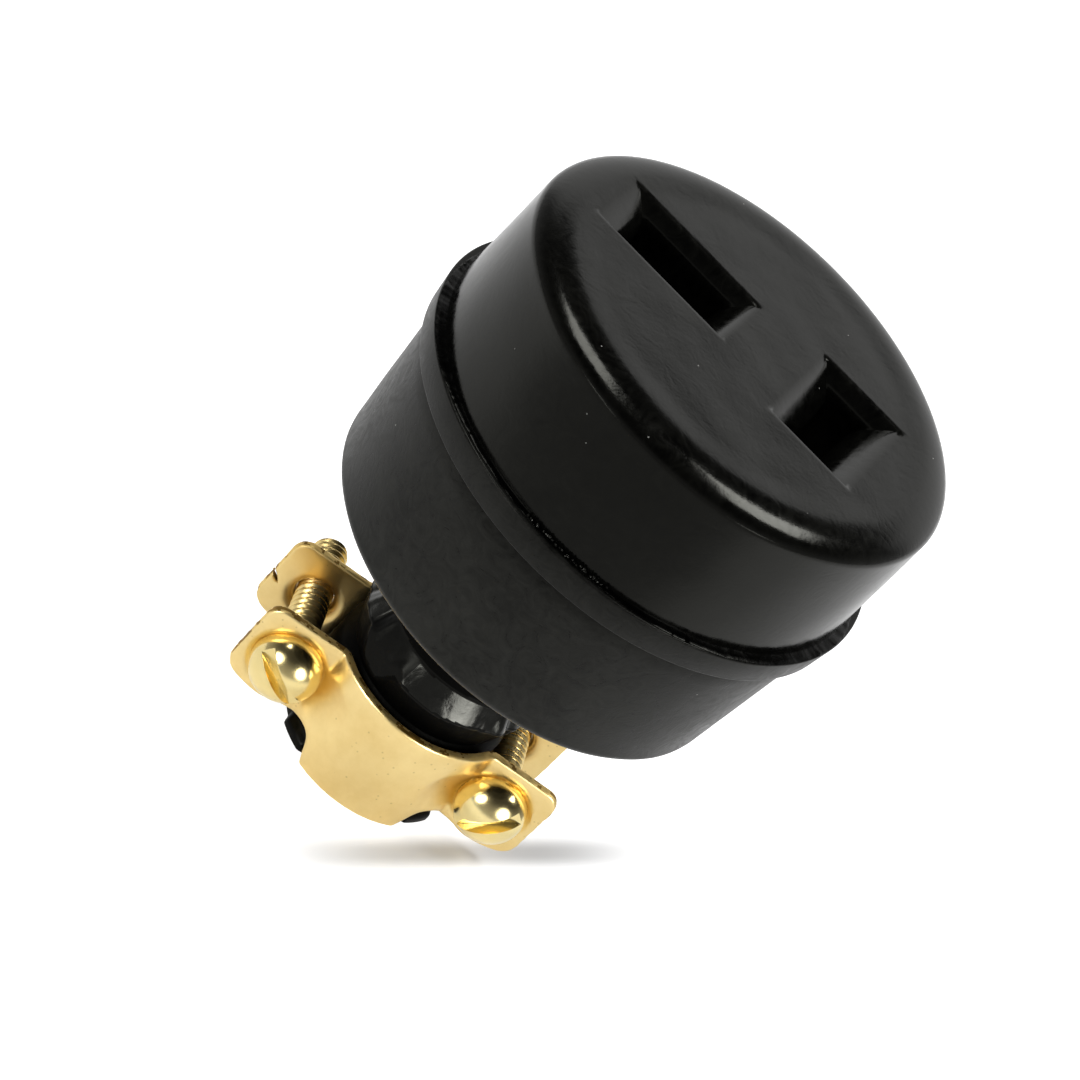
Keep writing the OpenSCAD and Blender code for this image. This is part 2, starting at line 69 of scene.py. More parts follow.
FLASH_OUT = 0.6
FRONT_FLARE = 0.25
FACE_WALL = 7.0
RECESS_H = 2.0
FIT_GAP = 0.1
CAVITY_R = 15.6
NECK_R = 9.0

FACE_Z = front_high.z
CEILING_Z = FACE_Z - FACE_WALL
FRONT_Z0 = front_low.z
RIM_Z = shell_high.z
SEAT_Z = RIM_Z - RECESS_H
BASE_Z = shell_low.z
RIM_R = shell_high.x
FOOT_R = front_high.x - FLASH_OUT
FACE_R = FOOT_R - FRONT_FLARE
RECESS_R = FOOT_R + FIT_GAP
print(f"face at {FACE_Z:.1f}, rim at {RIM_Z:.1f}, base at {BASE_Z:.1f}, foot radius {FOOT_R:.2f}")

# %% [markdown]
# ## The camera
#
# The photograph looks down on the face by 34 degrees and leans the picture by 45 degrees, so a standing
# socket appears tilted. A long lens keeps the circles nearly parallel. Aiming at a point near the middle
# of the part and then rolling about the line of sight gives that view with two points and one angle.

# %% Place the camera
CAMERA_SPOT = Vector((6.69, -260.22, 202.50))
CAMERA_AIM = Vector((-1.299, -1.283, 30.0))
CAMERA_ROLL = 44.685
LENS = 118.9

camera_data = bpy.data.cameras.new("camera")
camera_data.lens = LENS
camera_data.clip_start = 0.01
camera = bpy.data.objects.new("camera", camera_data)
bpy.context.scene.collection.objects.link(camera)
camera.rotation_mode = "QUATERNION"
camera.rotation_quaternion = (CAMERA_AIM - CAMERA_SPOT).to_track_quat("-Z", "Y") @ Quaternion(
    (0, 0, 1), math.radians(CAMERA_ROLL)
)
camera.location = CAMERA_SPOT * MM
bpy.context.scene.camera = camera
bpy.context.scene.view_settings.view_transform = "Standard"
print("camera distance:", round((CAMERA_AIM - CAMERA_SPOT).length), "mm")

# %% [markdown]
# ## Colours and nodes
#
# Colours are written as the hex values that a picture shows, and turned to linear light once, here. One
# function adds any shader node: it sets the node's options, fills or links its inputs and hands back the
# output that the next node needs, so that a material reads as a list of steps.

# %% Turn hex colours to linear, and add a node
def linear(hex_code):
    """The linear colour, with alpha, of an sRGB hex value."""
    levels = [int(hex_code[k:k + 2], 16) / 255 for k in (0, 2, 4)]
    curve = [v / 12.92 if v <= 0.04045 else ((v + 0.055) / 1.055) ** 2.4 for v in levels]
    return (*curve, 1.0)


def add_node(tree, kind, inputs=(), out=0, **settings):
    """Adds one shader node and gives back one of its outputs. Its inputs are filled or linked by name
    or number, or from the first one on."""
    made = tree.nodes.new("ShaderNode" + kind)
    for option, value in settings.items():
        setattr(made, option, value)
    for socket, value in inputs.items() if isinstance(inputs, dict) else enumerate(inputs):
        if isinstance(value, bpy.types.NodeSocket):
            tree.links.new(value, made.inputs[socket])
        else:
            made.inputs[socket].default_value = value
    return made.outputs[out] if made.outputs else None


def start_material(name):
    """A new material, and its node tree with nothing in it."""
    made = bpy.data.materials.new(name)
    made.use_nodes = True
    made.node_tree.nodes.clear()
    return made, made.node_tree


def per_mm(size):
    """The texture scale whose pattern repeats about every size millimetres."""
    return 1 / (size * MM)


# Options that several nodes share: a smooth change of value, and a mix of two colours.
SOFT = {"interpolation_type": "SMOOTHSTEP"}
TINT = {"data_type": "RGBA", "out": 2}
WHITE = (1, 1, 1, 1)

# %% [markdown]
# ## The room
#
# The part was photographed on white, in a dim room with a white card behind it. Two soft boxes hang over
# it, behind and to either side: they draw the two streaks on the rounded edge of the face. Two small
# lamps stand low and near in front: each round screw head shows both of them. Polished brass and rubber
# show mostly what they mirror, so the room is dark and its card bright, and the dark parts of both come
# from the gaps. A camera ray that misses the floor sees plain white.

# %% Make the room
ROOM_LIGHT = 0.30
LOW_MIRRORED, HIGH_MIRRORED = 0.34, 0.03
HAZE = (0.0, 0.75)
CARD_LIGHT = 0.86
CARD_TOP, CARD_SIDE = (0.50, 0.57), (0.60, 0.84)

world = bpy.data.worlds.new("photo_room")
bpy.context.scene.world = world
world.use_nodes = True
room = world.node_tree
room.nodes.clear()
way = add_node(room, "TexCoord", out="Generated")
up, back = (add_node(room, "SeparateXYZ", (way,), out=axis) for axis in "ZY")
low_enough = add_node(room, "MapRange", (up, *CARD_TOP, CARD_LIGHT, 0.0), **SOFT)
far_enough = add_node(room, "MapRange", (back, *CARD_SIDE, 0.0, 1.0), **SOFT)
haze = add_node(room, "MapRange", (up, *HAZE, LOW_MIRRORED, HIGH_MIRRORED), **SOFT)
back_card = add_node(room, "Math", (low_enough, far_enough), operation="MULTIPLY")
mirrored = add_node(room, "Math", (back_card, haze), operation="MAXIMUM")
for_mirrors = add_node(room, "LightPath", out="Is Glossy Ray")
for_camera = add_node(room, "LightPath", out="Is Camera Ray")
strength = add_node(room, "Mix", {0: for_mirrors, 2: ROOM_LIGHT, 3: mirrored})
strength = add_node(room, "Mix", {0: for_camera, 2: strength, 3: 1.0})
add_node(room, "OutputWorld", (add_node(room, "Background", (WHITE, strength)),))


def soft_box(name, azimuth, elevation, distance, size, radiance, shape, spread):
    """An area light aimed at the part's clamp, which no camera ray sees. A spread under 180 degrees
    stands for a honeycomb grid on its front."""
    a, e = math.radians(azimuth), math.radians(elevation)
    away = Vector((math.sin(a) * math.cos(e), -math.cos(a) * math.cos(e), math.sin(e)))
    lamp = bpy.data.lights.new(name, "AREA")
    lamp.shape = shape
    lamp.size, lamp.size_y = (side * MM for side in size)
    area = size[0] * size[1] * MM * MM * (1 if shape == "RECTANGLE" else math.pi / 4)
    lamp.energy = radiance * math.pi * area
    lamp.spread = math.radians(spread)
    stand = bpy.data.objects.new(name, lamp)
    bpy.context.scene.collection.objects.link(stand)
    stand.location = Vector((0, 0, LAMP_AIM_Z * MM)) + away * distance * MM
    stand.rotation_mode = "QUATERNION"
    stand.rotation_quaternion = (-away).to_track_quat("-Z", "Y")
    stand.visible_camera = False


LAMP_AIM_Z = 10.0
LAMPS = (
    # name, azimuth and elevation in degrees, distance, two sides, radiance, shape, and spread in degrees
    ("overhead_box_right", 125, 65, 600, (240, 200), 10.5, "RECTANGLE", 180),
    ("overhead_box_left", -101, 67, 600, (240, 190), 7.5, "RECTANGLE", 180),
    ("low_lamp_left", -26, 18, 85, (50, 50), 0.70, "ELLIPSE", 46),
    ("low_lamp_right", 52, 18, 85, (50, 50), 0.70, "ELLIPSE", 46),
)
for lamp_row in LAMPS:
    soft_box(*lamp_row)
print("lamps:", len(bpy.data.lights))

# %% [markdown]
# ## The floor
#
# The floor is white card. Soft light alone renders it grey, so it also glows for the camera, which lifts
# it to white. In a thin lens under the clamp it glows far less for the camera: the lens is painted shade,
# a grey strip in which the part's own shadow also shows. Close to the part it glows for mirrors as well,
# because the brass shows bright card there, while the rubber further up mirrors a dimmer stretch in front.

# %% Lay the floor
# Lengths in this cell are metres, because a shader's object coordinates are.
FLOOR_R, FLOOR_SIDES = 3.0, 64
PAPER_UNDER, PAPER_NEAR, PAPER_FAR = 0.66, 0.60, 0.42
SEEN_IN_SHADOW_LENS, SEEN_FAR = 0.02, 0.92
UNDER_AT, UNDER_REACH = (0.013, 0.001, 0), (0.012, 0.024)
# Where the painted shadow lens lies on the floor, and how it fades along two directions.
PAINTED_SHADOW_AT = (0.0148, -0.0001, 0)
PAINTED_SHADOW_WAYS = (
    # a direction on the floor, and the distances between which the painted shadow lens fades that way
    ((0.855, 0.519, 0), (0.006, 0.028)),
    ((0.850, -0.526, 0), (0.0002, 0.0030)),
)
GLOW_UNDER, GLOW_NEAR, GLOW_FAR = 0.30, 0.50, 0.13
GLOW_REACH, GLOW_FRONT = (0.060, 0.092), (-0.088, -0.048)

card, tree = start_material("white_card")
spot = add_node(tree, "TexCoord", out="Object")
away = add_node(tree, "VectorMath", (spot,), operation="LENGTH", out="Value")
close = add_node(tree, "MapRange", (away, *GLOW_REACH, 1.0, 0.0), **SOFT)
back = add_node(tree, "SeparateXYZ", (spot,), out="Y")
behind = add_node(tree, "MapRange", (back, *GLOW_FRONT, 0.0, 1.0), **SOFT)
near = add_node(tree, "Math", (close, behind), operation="MAXIMUM")
apart = add_node(tree, "VectorMath", (spot, UNDER_AT), operation="DISTANCE", out="Value")
under = add_node(tree, "MapRange", (apart, *UNDER_REACH, 1.0, 0.0), **SOFT)
# Painted shade: inside this thin lens the floor barely glows for the camera, so it shows grey there, with
# the part's real shadow in it.
offset = add_node(tree, "VectorMath", (spot, PAINTED_SHADOW_AT), operation="SUBTRACT")
painted_shadow_lens = 1.0
for way, fade in PAINTED_SHADOW_WAYS:
    along = add_node(tree, "VectorMath", (offset, way), operation="DOT_PRODUCT", out="Value")
    along = add_node(tree, "Math", (along,), operation="ABSOLUTE")
    held = add_node(tree, "MapRange", (along, *fade, 1.0, 0.0), **SOFT)
    painted_shadow_lens = add_node(tree, "Math", (held, painted_shadow_lens), operation="MULTIPLY")
glow = add_node(tree, "Mix", {0: near, 2: GLOW_FAR, 3: GLOW_NEAR})
glow = add_node(tree, "Mix", {0: under, 2: glow, 3: GLOW_UNDER})
for_mirrors = add_node(tree, "LightPath", out="Is Glossy Ray")
for_camera = add_node(tree, "LightPath", out="Is Camera Ray")
glow = add_node(tree, "Math", (for_mirrors, glow), operation="MULTIPLY")
seen = add_node(tree, "Mix", {0: painted_shadow_lens, 2: SEEN_FAR, 3: SEEN_IN_SHADOW_LENS})
light = add_node(tree, "Emission", (WHITE, add_node(tree, "Mix", {0: for_camera, 2: glow, 3: seen})))
white = add_node(tree, "Mix", {0: near, 2: PAPER_FAR, 3: PAPER_NEAR})
white = add_node(tree, "Mix", {0: under, 2: white, 3: PAPER_UNDER})
paper = add_node(tree, "BsdfDiffuse", (white,))
add_node(tree, "OutputMaterial", (add_node(tree, "AddShader", (light, paper)),))

turns = [2 * math.pi * k / FLOOR_SIDES for k in range(FLOOR_SIDES)]
floor_mesh = bpy.data.meshes.new("floor")
floor_mesh.from_pydata(
    [(FLOOR_R * math.cos(a), FLOOR_R * math.sin(a), 0) for a in turns], [], [list(range(FLOOR_SIDES))]
)
floor_mesh.materials.append(card)
floor = bpy.data.objects.new("floor", floor_mesh)
bpy.context.scene.collection.objects.link(floor)
print("floor radius:", FLOOR_R, "m")

# %% [markdown]
# ## Moulded rubber
#
# Black rubber out of a steel mould is charcoal with a satin skin. It has faint swirls where the mould was
# polished, a fine grain, a little bloom and a few white specks of dust and filler. Rubber bends light by
# an index near 1.5, but a finely rough skin throws less of it back, so the specular level is under one
# half. The swirls are noise stretched by its own distortion, and the specks are the centres of sparse
# cells, so nothing repeats.

# %% Make the rubber finishes
BLOOM_MM, SWIRL_MM, GRAIN_MM, DUST_MM = 7, 2.4, 0.22, 1.6
SWIRL_SHARE, GRAIN_SHARE = 0.55, 0.35
MOTTLED, SHEENED = (0.38, 0.62), (0.32, 0.68)
DUST, DUST_R, DUST_OVER = "8C8C88", 0.045, 0.80
RUBBER_IOR, RUBBER_TINT, RUBBER_DEEP = 1.5, "FCFCF0", 0.08


def rubber(name, dark, light, roughness, level, grain=0.2, dusty=False):
    """Moulded rubber between two colours, whose swirls have the given range of roughness."""
    made, tree = start_material(name)
    place = add_node(tree, "TexCoord", out="Object")
    bloom = add_node(
        tree, "TexNoise", {"Vector": place, "Scale": per_mm(BLOOM_MM), "Detail": 4, "Roughness": 0.6}
    )
    swirl = add_node(
        tree, "TexNoise",
        {"Vector": place, "Scale": per_mm(SWIRL_MM), "Detail": 5, "Roughness": 0.62, "Distortion": 2.6},
    )
    fine = add_node(tree, "TexNoise", {"Vector": place, "Scale": per_mm(GRAIN_MM), "Detail": 2})
    mottle = add_node(tree, "Mix", {0: SWIRL_SHARE, 2: bloom, 3: swirl})
    share = add_node(tree, "MapRange", (mottle, *MOTTLED, 0.0, 1.0))
    colour = add_node(tree, "Mix", {0: share, 6: linear(dark), 7: linear(light)}, **TINT)
    if dusty:
        cell = add_node(tree, "TexVoronoi", {"Vector": place, "Scale": per_mm(DUST_MM)})
        picked = add_node(tree, "SeparateColor", (cell.node.outputs["Color"],))
        picked = add_node(tree, "Math", (picked, DUST_OVER), operation="GREATER_THAN")
        near = add_node(tree, "Math", (cell, DUST_R), operation="LESS_THAN")
        speck = add_node(tree, "Math", (near, picked), operation="MULTIPLY")
        colour = add_node(tree, "Mix", {0: speck, 6: colour, 7: linear(DUST)}, **TINT)
    sheen = add_node(tree, "MapRange", (swirl, *SHEENED, *roughness))
    relief = add_node(tree, "Math", (fine, GRAIN_SHARE, swirl), operation="MULTIPLY_ADD")
    bump = add_node(tree, "Bump", {"Height": relief, "Strength": grain, "Distance": RUBBER_DEEP * MM})
    skin = add_node(
        tree, "BsdfPrincipled",
        {"Base Color": colour, "Roughness": sheen, "IOR": RUBBER_IOR, "Specular IOR Level": level,
         "Specular Tint": linear(RUBBER_TINT), "Normal": bump},
    )
    add_node(tree, "OutputMaterial", (skin,))
    return made


# name, dark and light colour, range of roughness, specular level
front_rubber = rubber("moulded_rubber_front", "020202", "0D0D0B", (0.11, 0.21), 0.25, 0.16, dusty=True)
shell_rubber = rubber("moulded_rubber_shell", "0E0E0D", "21211F", (0.26, 0.42), 0.135, 0.25, dusty=True)
sleeve_rubber = rubber("wiped_rubber_neck", "020202", "040404", (0.12, 0.20), 0.5)
# Painted shade: the next two neck finishes reflect little, to darken the neck where shade falls round the
# bead.
half_shade_rubber = rubber("half_shaded_rubber_neck", "010101", "030303", (0.28, 0.38), 0.09)
deep_shade_rubber = rubber("deep_shaded_rubber_neck", "010101", "020202", (0.45, 0.60), 0.03)
# The flash finish is near black and reflects little: partly the torn skin's own dark, partly painted shade
# for the shadowed gap between drum and collar.
flash_and_gap_shade_rubber = rubber("torn_flash_and_gap_shade_rubber", "010101", "030303", (0.20, 0.34), 0.14)
crumb_rubber = rubber("crumbled_rubber", "060606", "161615", (0.08, 0.20), 0.9)
print("swirls of", SWIRL_MM, "mm, grain of", GRAIN_MM, "mm")

# %% [markdown]
# ## Brass
#
# The straps were sheared and pressed from rolled brass strip, and the screws were turned and headed from
# brass wire. Fresh brass is a pale gold metal, and its colour lies in what it mirrors. Rolling leaves a
# satin skin with faint lines along the strip, and handling adds soft tarnish. A screw head is tumbled
# bright. Metal keeps the default index, and its colour is the base colour.

# %% Make the brass finishes
CLOUD_MM, LINE_MM, PIT_MM = 5, 0.5, 1.1
TARNISHED, HANDLED = (0.35, 0.75), (0.3, 0.7)
PIT, PIT_EDGE = "6E5420", (0.05, 0.12)
BRASS_DEEP = 0.05
ALONG_STRIP, ALONG_CUT, NO_WAY = (0.12, 0.12, 1.0), (1.0, 1.0, 0.3), (1.0, 1.0, 1.0)


def brass(name, pale, deep, roughness, rolled, pits, relief=0.12):
    """Brass between a pale and a tarnished colour, with lines along the axes that rolled makes small."""
    made, tree = start_material(name)
    place = add_node(tree, "TexCoord", out="Object")
    cloud = add_node(
        tree, "TexNoise", {"Vector": place, "Scale": per_mm(CLOUD_MM), "Detail": 5, "Roughness": 0.65}
    )
    stretched = add_node(tree, "Mapping", {"Vector": place, "Scale": rolled})
    lines = add_node(
        tree, "TexNoise", {"Vector": stretched, "Scale": per_mm(LINE_MM), "Detail": 4, "Roughness": 0.6}
    )
    share = add_node(tree, "MapRange", (cloud, *TARNISHED, 0.0, 1.0))
    colour = add_node(tree, "Mix", {0: share, 6: linear(pale), 7: linear(deep)}, **TINT)
    cell = add_node(tree, "TexVoronoi", {"Vector": place, "Scale": per_mm(PIT_MM)})
    near = add_node(tree, "MapRange", (cell, *PIT_EDGE, pits, 0.0))
    colour = add_node(tree, "Mix", {0: near, 6: colour, 7: linear(PIT)}, **TINT)
    sheen = add_node(tree, "MapRange", (cloud, *HANDLED, *roughness))
    bump = add_node(tree, "Bump", {"Height": lines, "Strength": relief, "Distance": BRASS_DEEP * MM})
    metal = add_node(
        tree, "BsdfPrincipled", {"Base Color": colour, "Metallic": 1.0, "Roughness": sheen, "Normal": bump}
    )
    add_node(tree, "OutputMaterial", (metal,))
    return made


# name, pale and tarnished colour, range of roughness, way of the lines, share of pits, depth of lines
strap_brass = brass("pressed_strip_brass", "F5DB9A", "E6C986", (0.30, 0.41), ALONG_STRIP, 0.3)
edge_brass = brass("sheared_edge_brass", "F4D890", "D8B668", (0.46, 0.62), ALONG_CUT, 0.5, 0.5)
cut_brass = brass("torn_edge_brass", "A8843F", "6A5024", (0.50, 0.70), ALONG_CUT, 0.5, 0.5)
head_brass = brass("tumbled_screw_brass", "F5E2A4", "EAD390", (0.15, 0.21), NO_WAY, 0.3)
thread_brass = brass("rolled_thread_brass", "F2DA9C", "DCBE74", (0.24, 0.34), NO_WAY, 0.4)
print("rolled lines of", LINE_MM, "mm, pits of about", round(PIT_MM * PIT_EDGE[1] * 2, 2), "mm")

# %% [markdown]
# ## Building a mesh
#
# Everything below is made of two kinds of surface: grids whose rows close round an axis, and flat sheets
# with holes. Both give lists of points and faces. One function turns such lists into a piece: it welds
# the points that meet, so that the piece is closed, turns the faces outward and keeps sharp only the
# edges that fold by more than a set angle.

# %% Turn points and faces into a piece
WELD = 0.0005


class Shape:
    """Points in millimetres, faces, and the number of each face's material."""

    def __init__(self):
        self.points, self.faces, self.paints = [], [], []

    def add(self, points, faces, paint=0):
        start = len(self.points)
        self.points += points
        self.faces += [[start + k for k in face] for face in faces]
        self.paints += [paint] * len(faces)


def grid_faces(rows, columns, closed_rows, closed_columns=False):
    """The quads of a grid whose points are listed row by row."""
    faces = []
    for i in range(rows if closed_rows else rows - 1):
        k = (i + 1) % rows
        for j in range(columns if closed_columns else columns - 1):
            m = (j + 1) % columns
            faces.append([i * columns + j, k * columns + j, k * columns + m, i * columns + m])
    return faces


def build(name, shape, materials, node, fold):
    """Makes the piece, which rides on the part and stands for the CAD node named."""
    mesh = bpy.data.meshes.new(name)
    mesh.from_pydata([[c * MM for c in p] for p in shape.points], [], shape.faces)
    mesh.polygons.foreach_set("material_index", shape.paints)
    for material in materials:
        mesh.materials.append(material)
    work = bmesh.new()
    work.from_mesh(mesh)
    bmesh.ops.remove_doubles(work, verts=work.verts, dist=WELD * MM)
    bmesh.ops.dissolve_degenerate(work, edges=work.edges, dist=WELD * MM)
    bmesh.ops.recalc_face_normals(work, faces=work.faces)
    loose = sum(1 for edge in work.edges if len(edge.link_faces) != 2)
    work.to_mesh(mesh)
    work.free()
    mesh.polygons.foreach_set("use_smooth", [True] * len(mesh.polygons))
    mesh.set_sharp_from_angle(angle=math.radians(fold))
    piece = bpy.data.objects.new(name, mesh)
    bpy.context.scene.collection.objects.link(piece)
    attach(piece, "root")
    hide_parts(node)
    print(f"{name}: {len(mesh.polygons)} faces, {loose} open edges")


def lathe(profile, steps, closed=False, shift=None):
    """Points and faces of a profile of (radius, height) turned about the axis.
    shift, when given, moves each (radius, height) as a function of the angle."""
    points = []
    for i in range(steps):
        a = 2 * math.pi * i / steps
        for r, z in profile:
            if shift:
                r, z = shift(r, z, a)
            points.append((r * math.cos(a), r * math.sin(a), z))
    return points, grid_faces(steps, len(profile), True, closed)


def smooth_step(value, low, high):
    """0 below low, 1 above high, and a smooth rise between."""
    t = min(max((value - low) / (high - low), 0.0), 1.0)
    return t * t * (3 - 2 * t)


def wobble(x, y, z, size, depth=2):
    """Smooth noise from about -1 to 1 that changes over size millimetres."""
    return noise.fractal(Vector((x / size, y / size, z / size)), 1.0, 2.0, depth)


def between(a, b, count):
    """Count values that run evenly from a to b, with both ends."""
    return [a + (b - a) * k / (count - 1) for k in range(count)]


# %% [markdown]
# ## Sheets with holes
#
# The face has two slots in it, and a strap blank has two eyes. Blender's constrained triangulation fills
# such an outline, and extra points inside it let the sheet bend or ripple. It fills the whole hull, so
# triangles outside the outline or inside a hole are dropped by their middle point.

# %% Fill an outline that has holes
SAME_POINT = 1e-5


def inside(x, y, loop):
    """Whether a point lies inside a closed loop of points."""
    odd = False
    for (x0, y0), (x1, y1) in zip(loop, loop[1:] + loop[:1]):
        if (y0 > y) != (y1 > y) and x < x0 + (y - y0) * (x1 - x0) / (y1 - y0):
            odd = not odd
    return odd


def clearance(x, y, loop):
    """The distance from a point to the nearest point of a loop."""
    return min((x - px) ** 2 + (y - py) ** 2 for px, py in loop) ** 0.5


def sheet(outline, holes, spacing, margin):
    """Points and triangles that fill the outline round its holes, with points every spacing inside."""
    loops = [outline] + holes
    points = [p for loop in loops for p in loop]
    edges, start = [], 0
    for loop in loops:
        count = len(loop)
        edges += [(start + k, start + (k + 1) % count) for k in range(count)]
        start += count
    xs, ys = [p[0] for p in outline], [p[1] for p in outline]
    columns = int((max(xs) - min(xs)) / spacing)
    rows = int((max(ys) - min(ys)) / spacing)
    for i in range(1, columns):
        for j in range(1, rows):
            x = min(xs) + (i + 0.5 * (j % 2)) * spacing
            y = min(ys) + j * spacing
            if not inside(x, y, outline) or any(inside(x, y, hole) for hole in holes):
                continue
            if min(clearance(x, y, loop) for loop in loops) > margin:
                points.append((x, y))
    made = geometry.delaunay_2d_cdt([Vector(p) for p in points], edges, [], 0, SAME_POINT)
    corners = [(p.x, p.y) for p in made[0]]
    faces = []
    for face in made[2]:
        x = sum(corners[k][0] for k in face) / len(face)
        y = sum(corners[k][1] for k in face) / len(face)
        if inside(x, y, outline) and not any(inside(x, y, hole) for hole in holes):
            faces.append(list(face))
    return corners, faces


def circle(x, y, radius, steps):
    """Points round a circle."""
    turns = [2 * math.pi * k / steps for k in range(steps)]
    return [(x + radius * math.cos(a), y + radius * math.sin(a)) for a in turns]


# %% [markdown]
# ## The front piece
#
# It is one rubber moulding: a drum with a generously rounded front edge, two flared blade slots, and
# inside it the seat of the contact block. A torn skin of flash stands out round its foot, where rubber
# squeezed out of the mould. A slot's mouth is a rectangle whose ends slope gently and whose long sides
# drop fast. Rings of the same rectangle, each a little smaller and deeper, give those soft outer edges
# and the four creases that run from the corners of the mouth to those of the hole.

# %% Lay out a slot
MOUTH_H = 1.3
MOUTH_STEEP = 1.6
MOUTH_MARGIN = 0.3
MOUTH_RINGS = 9
FUNNEL_RINGS = 5
FUNNEL_ENDS, FUNNEL_SIDES = 4.0, 2.5
SIDE_STEPS = 18

# A blade slot: the outlines of its mouth, its hole and its throat, as centres and half sizes.
Slot = namedtuple("Slot", "mouth hole throat")


def span(low, high):
    """The middle and the half size between two places."""
    return (low + high) / 2, (high - low) / 2


def rectangle(x_span, y_span):
    """Points round a rectangle, with SIDE_STEPS on each side."""
    (cx, hx), (cy, hy) = x_span, y_span
    corners = [(-1, -1), (1, -1), (1, 1), (-1, 1)]
    points = []
    for (ax, ay), (bx, by) in zip(corners, corners[1:] + corners[:1]):
        for k in range(SIDE_STEPS):
            t = k / SIDE_STEPS
            points.append((cx + hx * (ax + (bx - ax) * t), cy + hy * (ay + (by - ay) * t)))
    return points


def blend(a, b, t):
    """The span that lies a share t of the way from a to b."""
    return tuple(p + (q - p) * t for p, q in zip(a, b))


straight_slot = Slot(
    (span(-17.2, -1.9), span(-3.3, 5.35)), (span(-14.65, -3.7), span(-2.4, 4.2)),
    (span(-13.75, -4.55), span(-0.7, 2.3)),
)
crossed_slot = Slot(
    (span(4.4, 14.2), span(-5.9, 7.6)), (span(6.4, 11.9), span(-4.7, 6.4)),
    (span(7.65, 10.65), span(-3.8, 5.4)),
)
slots = (straight_slot, crossed_slot)
print("slot mouths:", [tuple(round(2 * side[1], 1) for side in slot.mouth) for slot in slots])

# %% [markdown]
# ### The face, its slots and the outside
#
# A moulded face is never a perfect plane: it dips a few hundredths of a millimetre here and there, which
# bends what it mirrors. The drum is a lathe profile that starts at the ceiling of the cavity, runs down
# the inside, round the foot and up the outside to the face.

# %% Build the front piece
ROUND_W, ROUND_H, ROUND_ROWS = 3.5, 1.8, 22
DRUM_STEPS = 512
WALL_ROWS, WALL_ENDS = 12, (0.3, 0.4)
FACE_SPACING, FACE_MARGIN = 0.55, 0.25
CEILING_SPACING, CEILING_MARGIN = 2.0, 0.8
FACE_RIPPLE, RIPPLE_MM, RIPPLE_FADE = 0.035, 7.0, 2.5
DRUM_SWELL, DRUM_SWELL_MM, SWELL_FADE = 0.05, 9.0, (0.3, 1.6)
NEAR = 0.01
LIP_R = 15.0
COVER_Z0 = 37.8
SKIRT_R, SKIRT_CHAMFER = 19.1, 0.3
FLAT_R = FACE_R - ROUND_W


def face_height(x, y):
    """Height of the face at a point: flat, apart from soft dips that fade at its edge."""
    fade = 1 - smooth_step(math.hypot(x, y), FLAT_R - RIPPLE_FADE, FLAT_R)
    return FACE_Z - FACE_RIPPLE * fade * (1 + wobble(x, y, 0, RIPPLE_MM))


def skirt(slot):
    """Points on the face round a slot's mouth, from which its soft edge starts."""
    return rectangle(*((middle, half + MOUTH_MARGIN) for middle, half in slot.mouth))


def slot_rings(slot):
    """The rings of points from the mouth's outline down to the throat's, each at its own depth."""
    rings = [[(x, y, face_height(x, y)) for x, y in skirt(slot)]]
    for k in range(MOUTH_RINGS + 1):
        t = k / MOUTH_RINGS
        outline = rectangle(blend(slot.mouth[0], slot.hole[0], t), blend(slot.mouth[1], slot.hole[1], t))
        drop = MOUTH_H * t * t * (MOUTH_STEEP - (MOUTH_STEEP - 1) * t)
        rings.append([(x, y, face_height(x, y) - drop) for x, y in outline])
    for k in range(1, FUNNEL_RINGS + 1):
        t = k / FUNNEL_RINGS
        outline = rectangle(
            blend(slot.hole[0], slot.throat[0], min(1.0, FUNNEL_ENDS * t)),
            blend(slot.hole[1], slot.throat[1], t ** FUNNEL_SIDES),
        )
        drop = FACE_WALL - MOUTH_H
        if k == FUNNEL_RINGS:
            rings.append([(x, y, CEILING_Z) for x, y in outline])
        else:
            rings.append([(x, y, face_height(x, y) - MOUTH_H - drop * t) for x, y in outline])
    return rings


front = Shape()
mouths = [skirt(slot) for slot in slots]
throats = [rectangle(*slot.throat) for slot in slots]
corners, triangles = sheet(circle(0, 0, FLAT_R, DRUM_STEPS), mouths, FACE_SPACING, FACE_MARGIN)
front.add([(x, y, face_height(x, y)) for x, y in corners], triangles)
corners, triangles = sheet(circle(0, 0, CAVITY_R, DRUM_STEPS), throats, CEILING_SPACING, CEILING_MARGIN)
front.add([(x, y, CEILING_Z) for x, y in corners], triangles)
for slot in slots:
    rings = slot_rings(slot)
    front.add([p for ring in rings for p in ring], grid_faces(len(rings), len(rings[0]), False, True))

edge_round = [
    (FLAT_R + ROUND_W * math.cos(a), FACE_Z - ROUND_H * (1 - math.sin(a)))
    for a in between(0, math.pi / 2, ROUND_ROWS)
]
wall_radii = between(FOOT_R, FACE_R, WALL_ROWS)
wall_levels = between(RIM_Z + WALL_ENDS[0], edge_round[0][1] - WALL_ENDS[1], WALL_ROWS)
drum_profile = (
    [(CAVITY_R, CEILING_Z), (CAVITY_R, COVER_Z0), (LIP_R, COVER_Z0), (LIP_R, FRONT_Z0),
     (SKIRT_R - SKIRT_CHAMFER, FRONT_Z0), (SKIRT_R, SEAT_Z), (FOOT_R, SEAT_Z), (FOOT_R, RIM_Z)]
    + list(zip(wall_radii, wall_levels)) + edge_round[:-1] + [(FLAT_R, FACE_Z)]
)


def drum_shift(r, z, a):
    """Lets the outside wall swell and shrink by a few hundredths of a millimetre."""
    if z < RIM_Z or r < FLAT_R + NEAR:
        return r, z
    fade = smooth_step((FACE_Z - z) / ROUND_H, *SWELL_FADE)
    return r + DRUM_SWELL * fade * wobble(r * math.cos(a), r * math.sin(a), z, DRUM_SWELL_MM), z


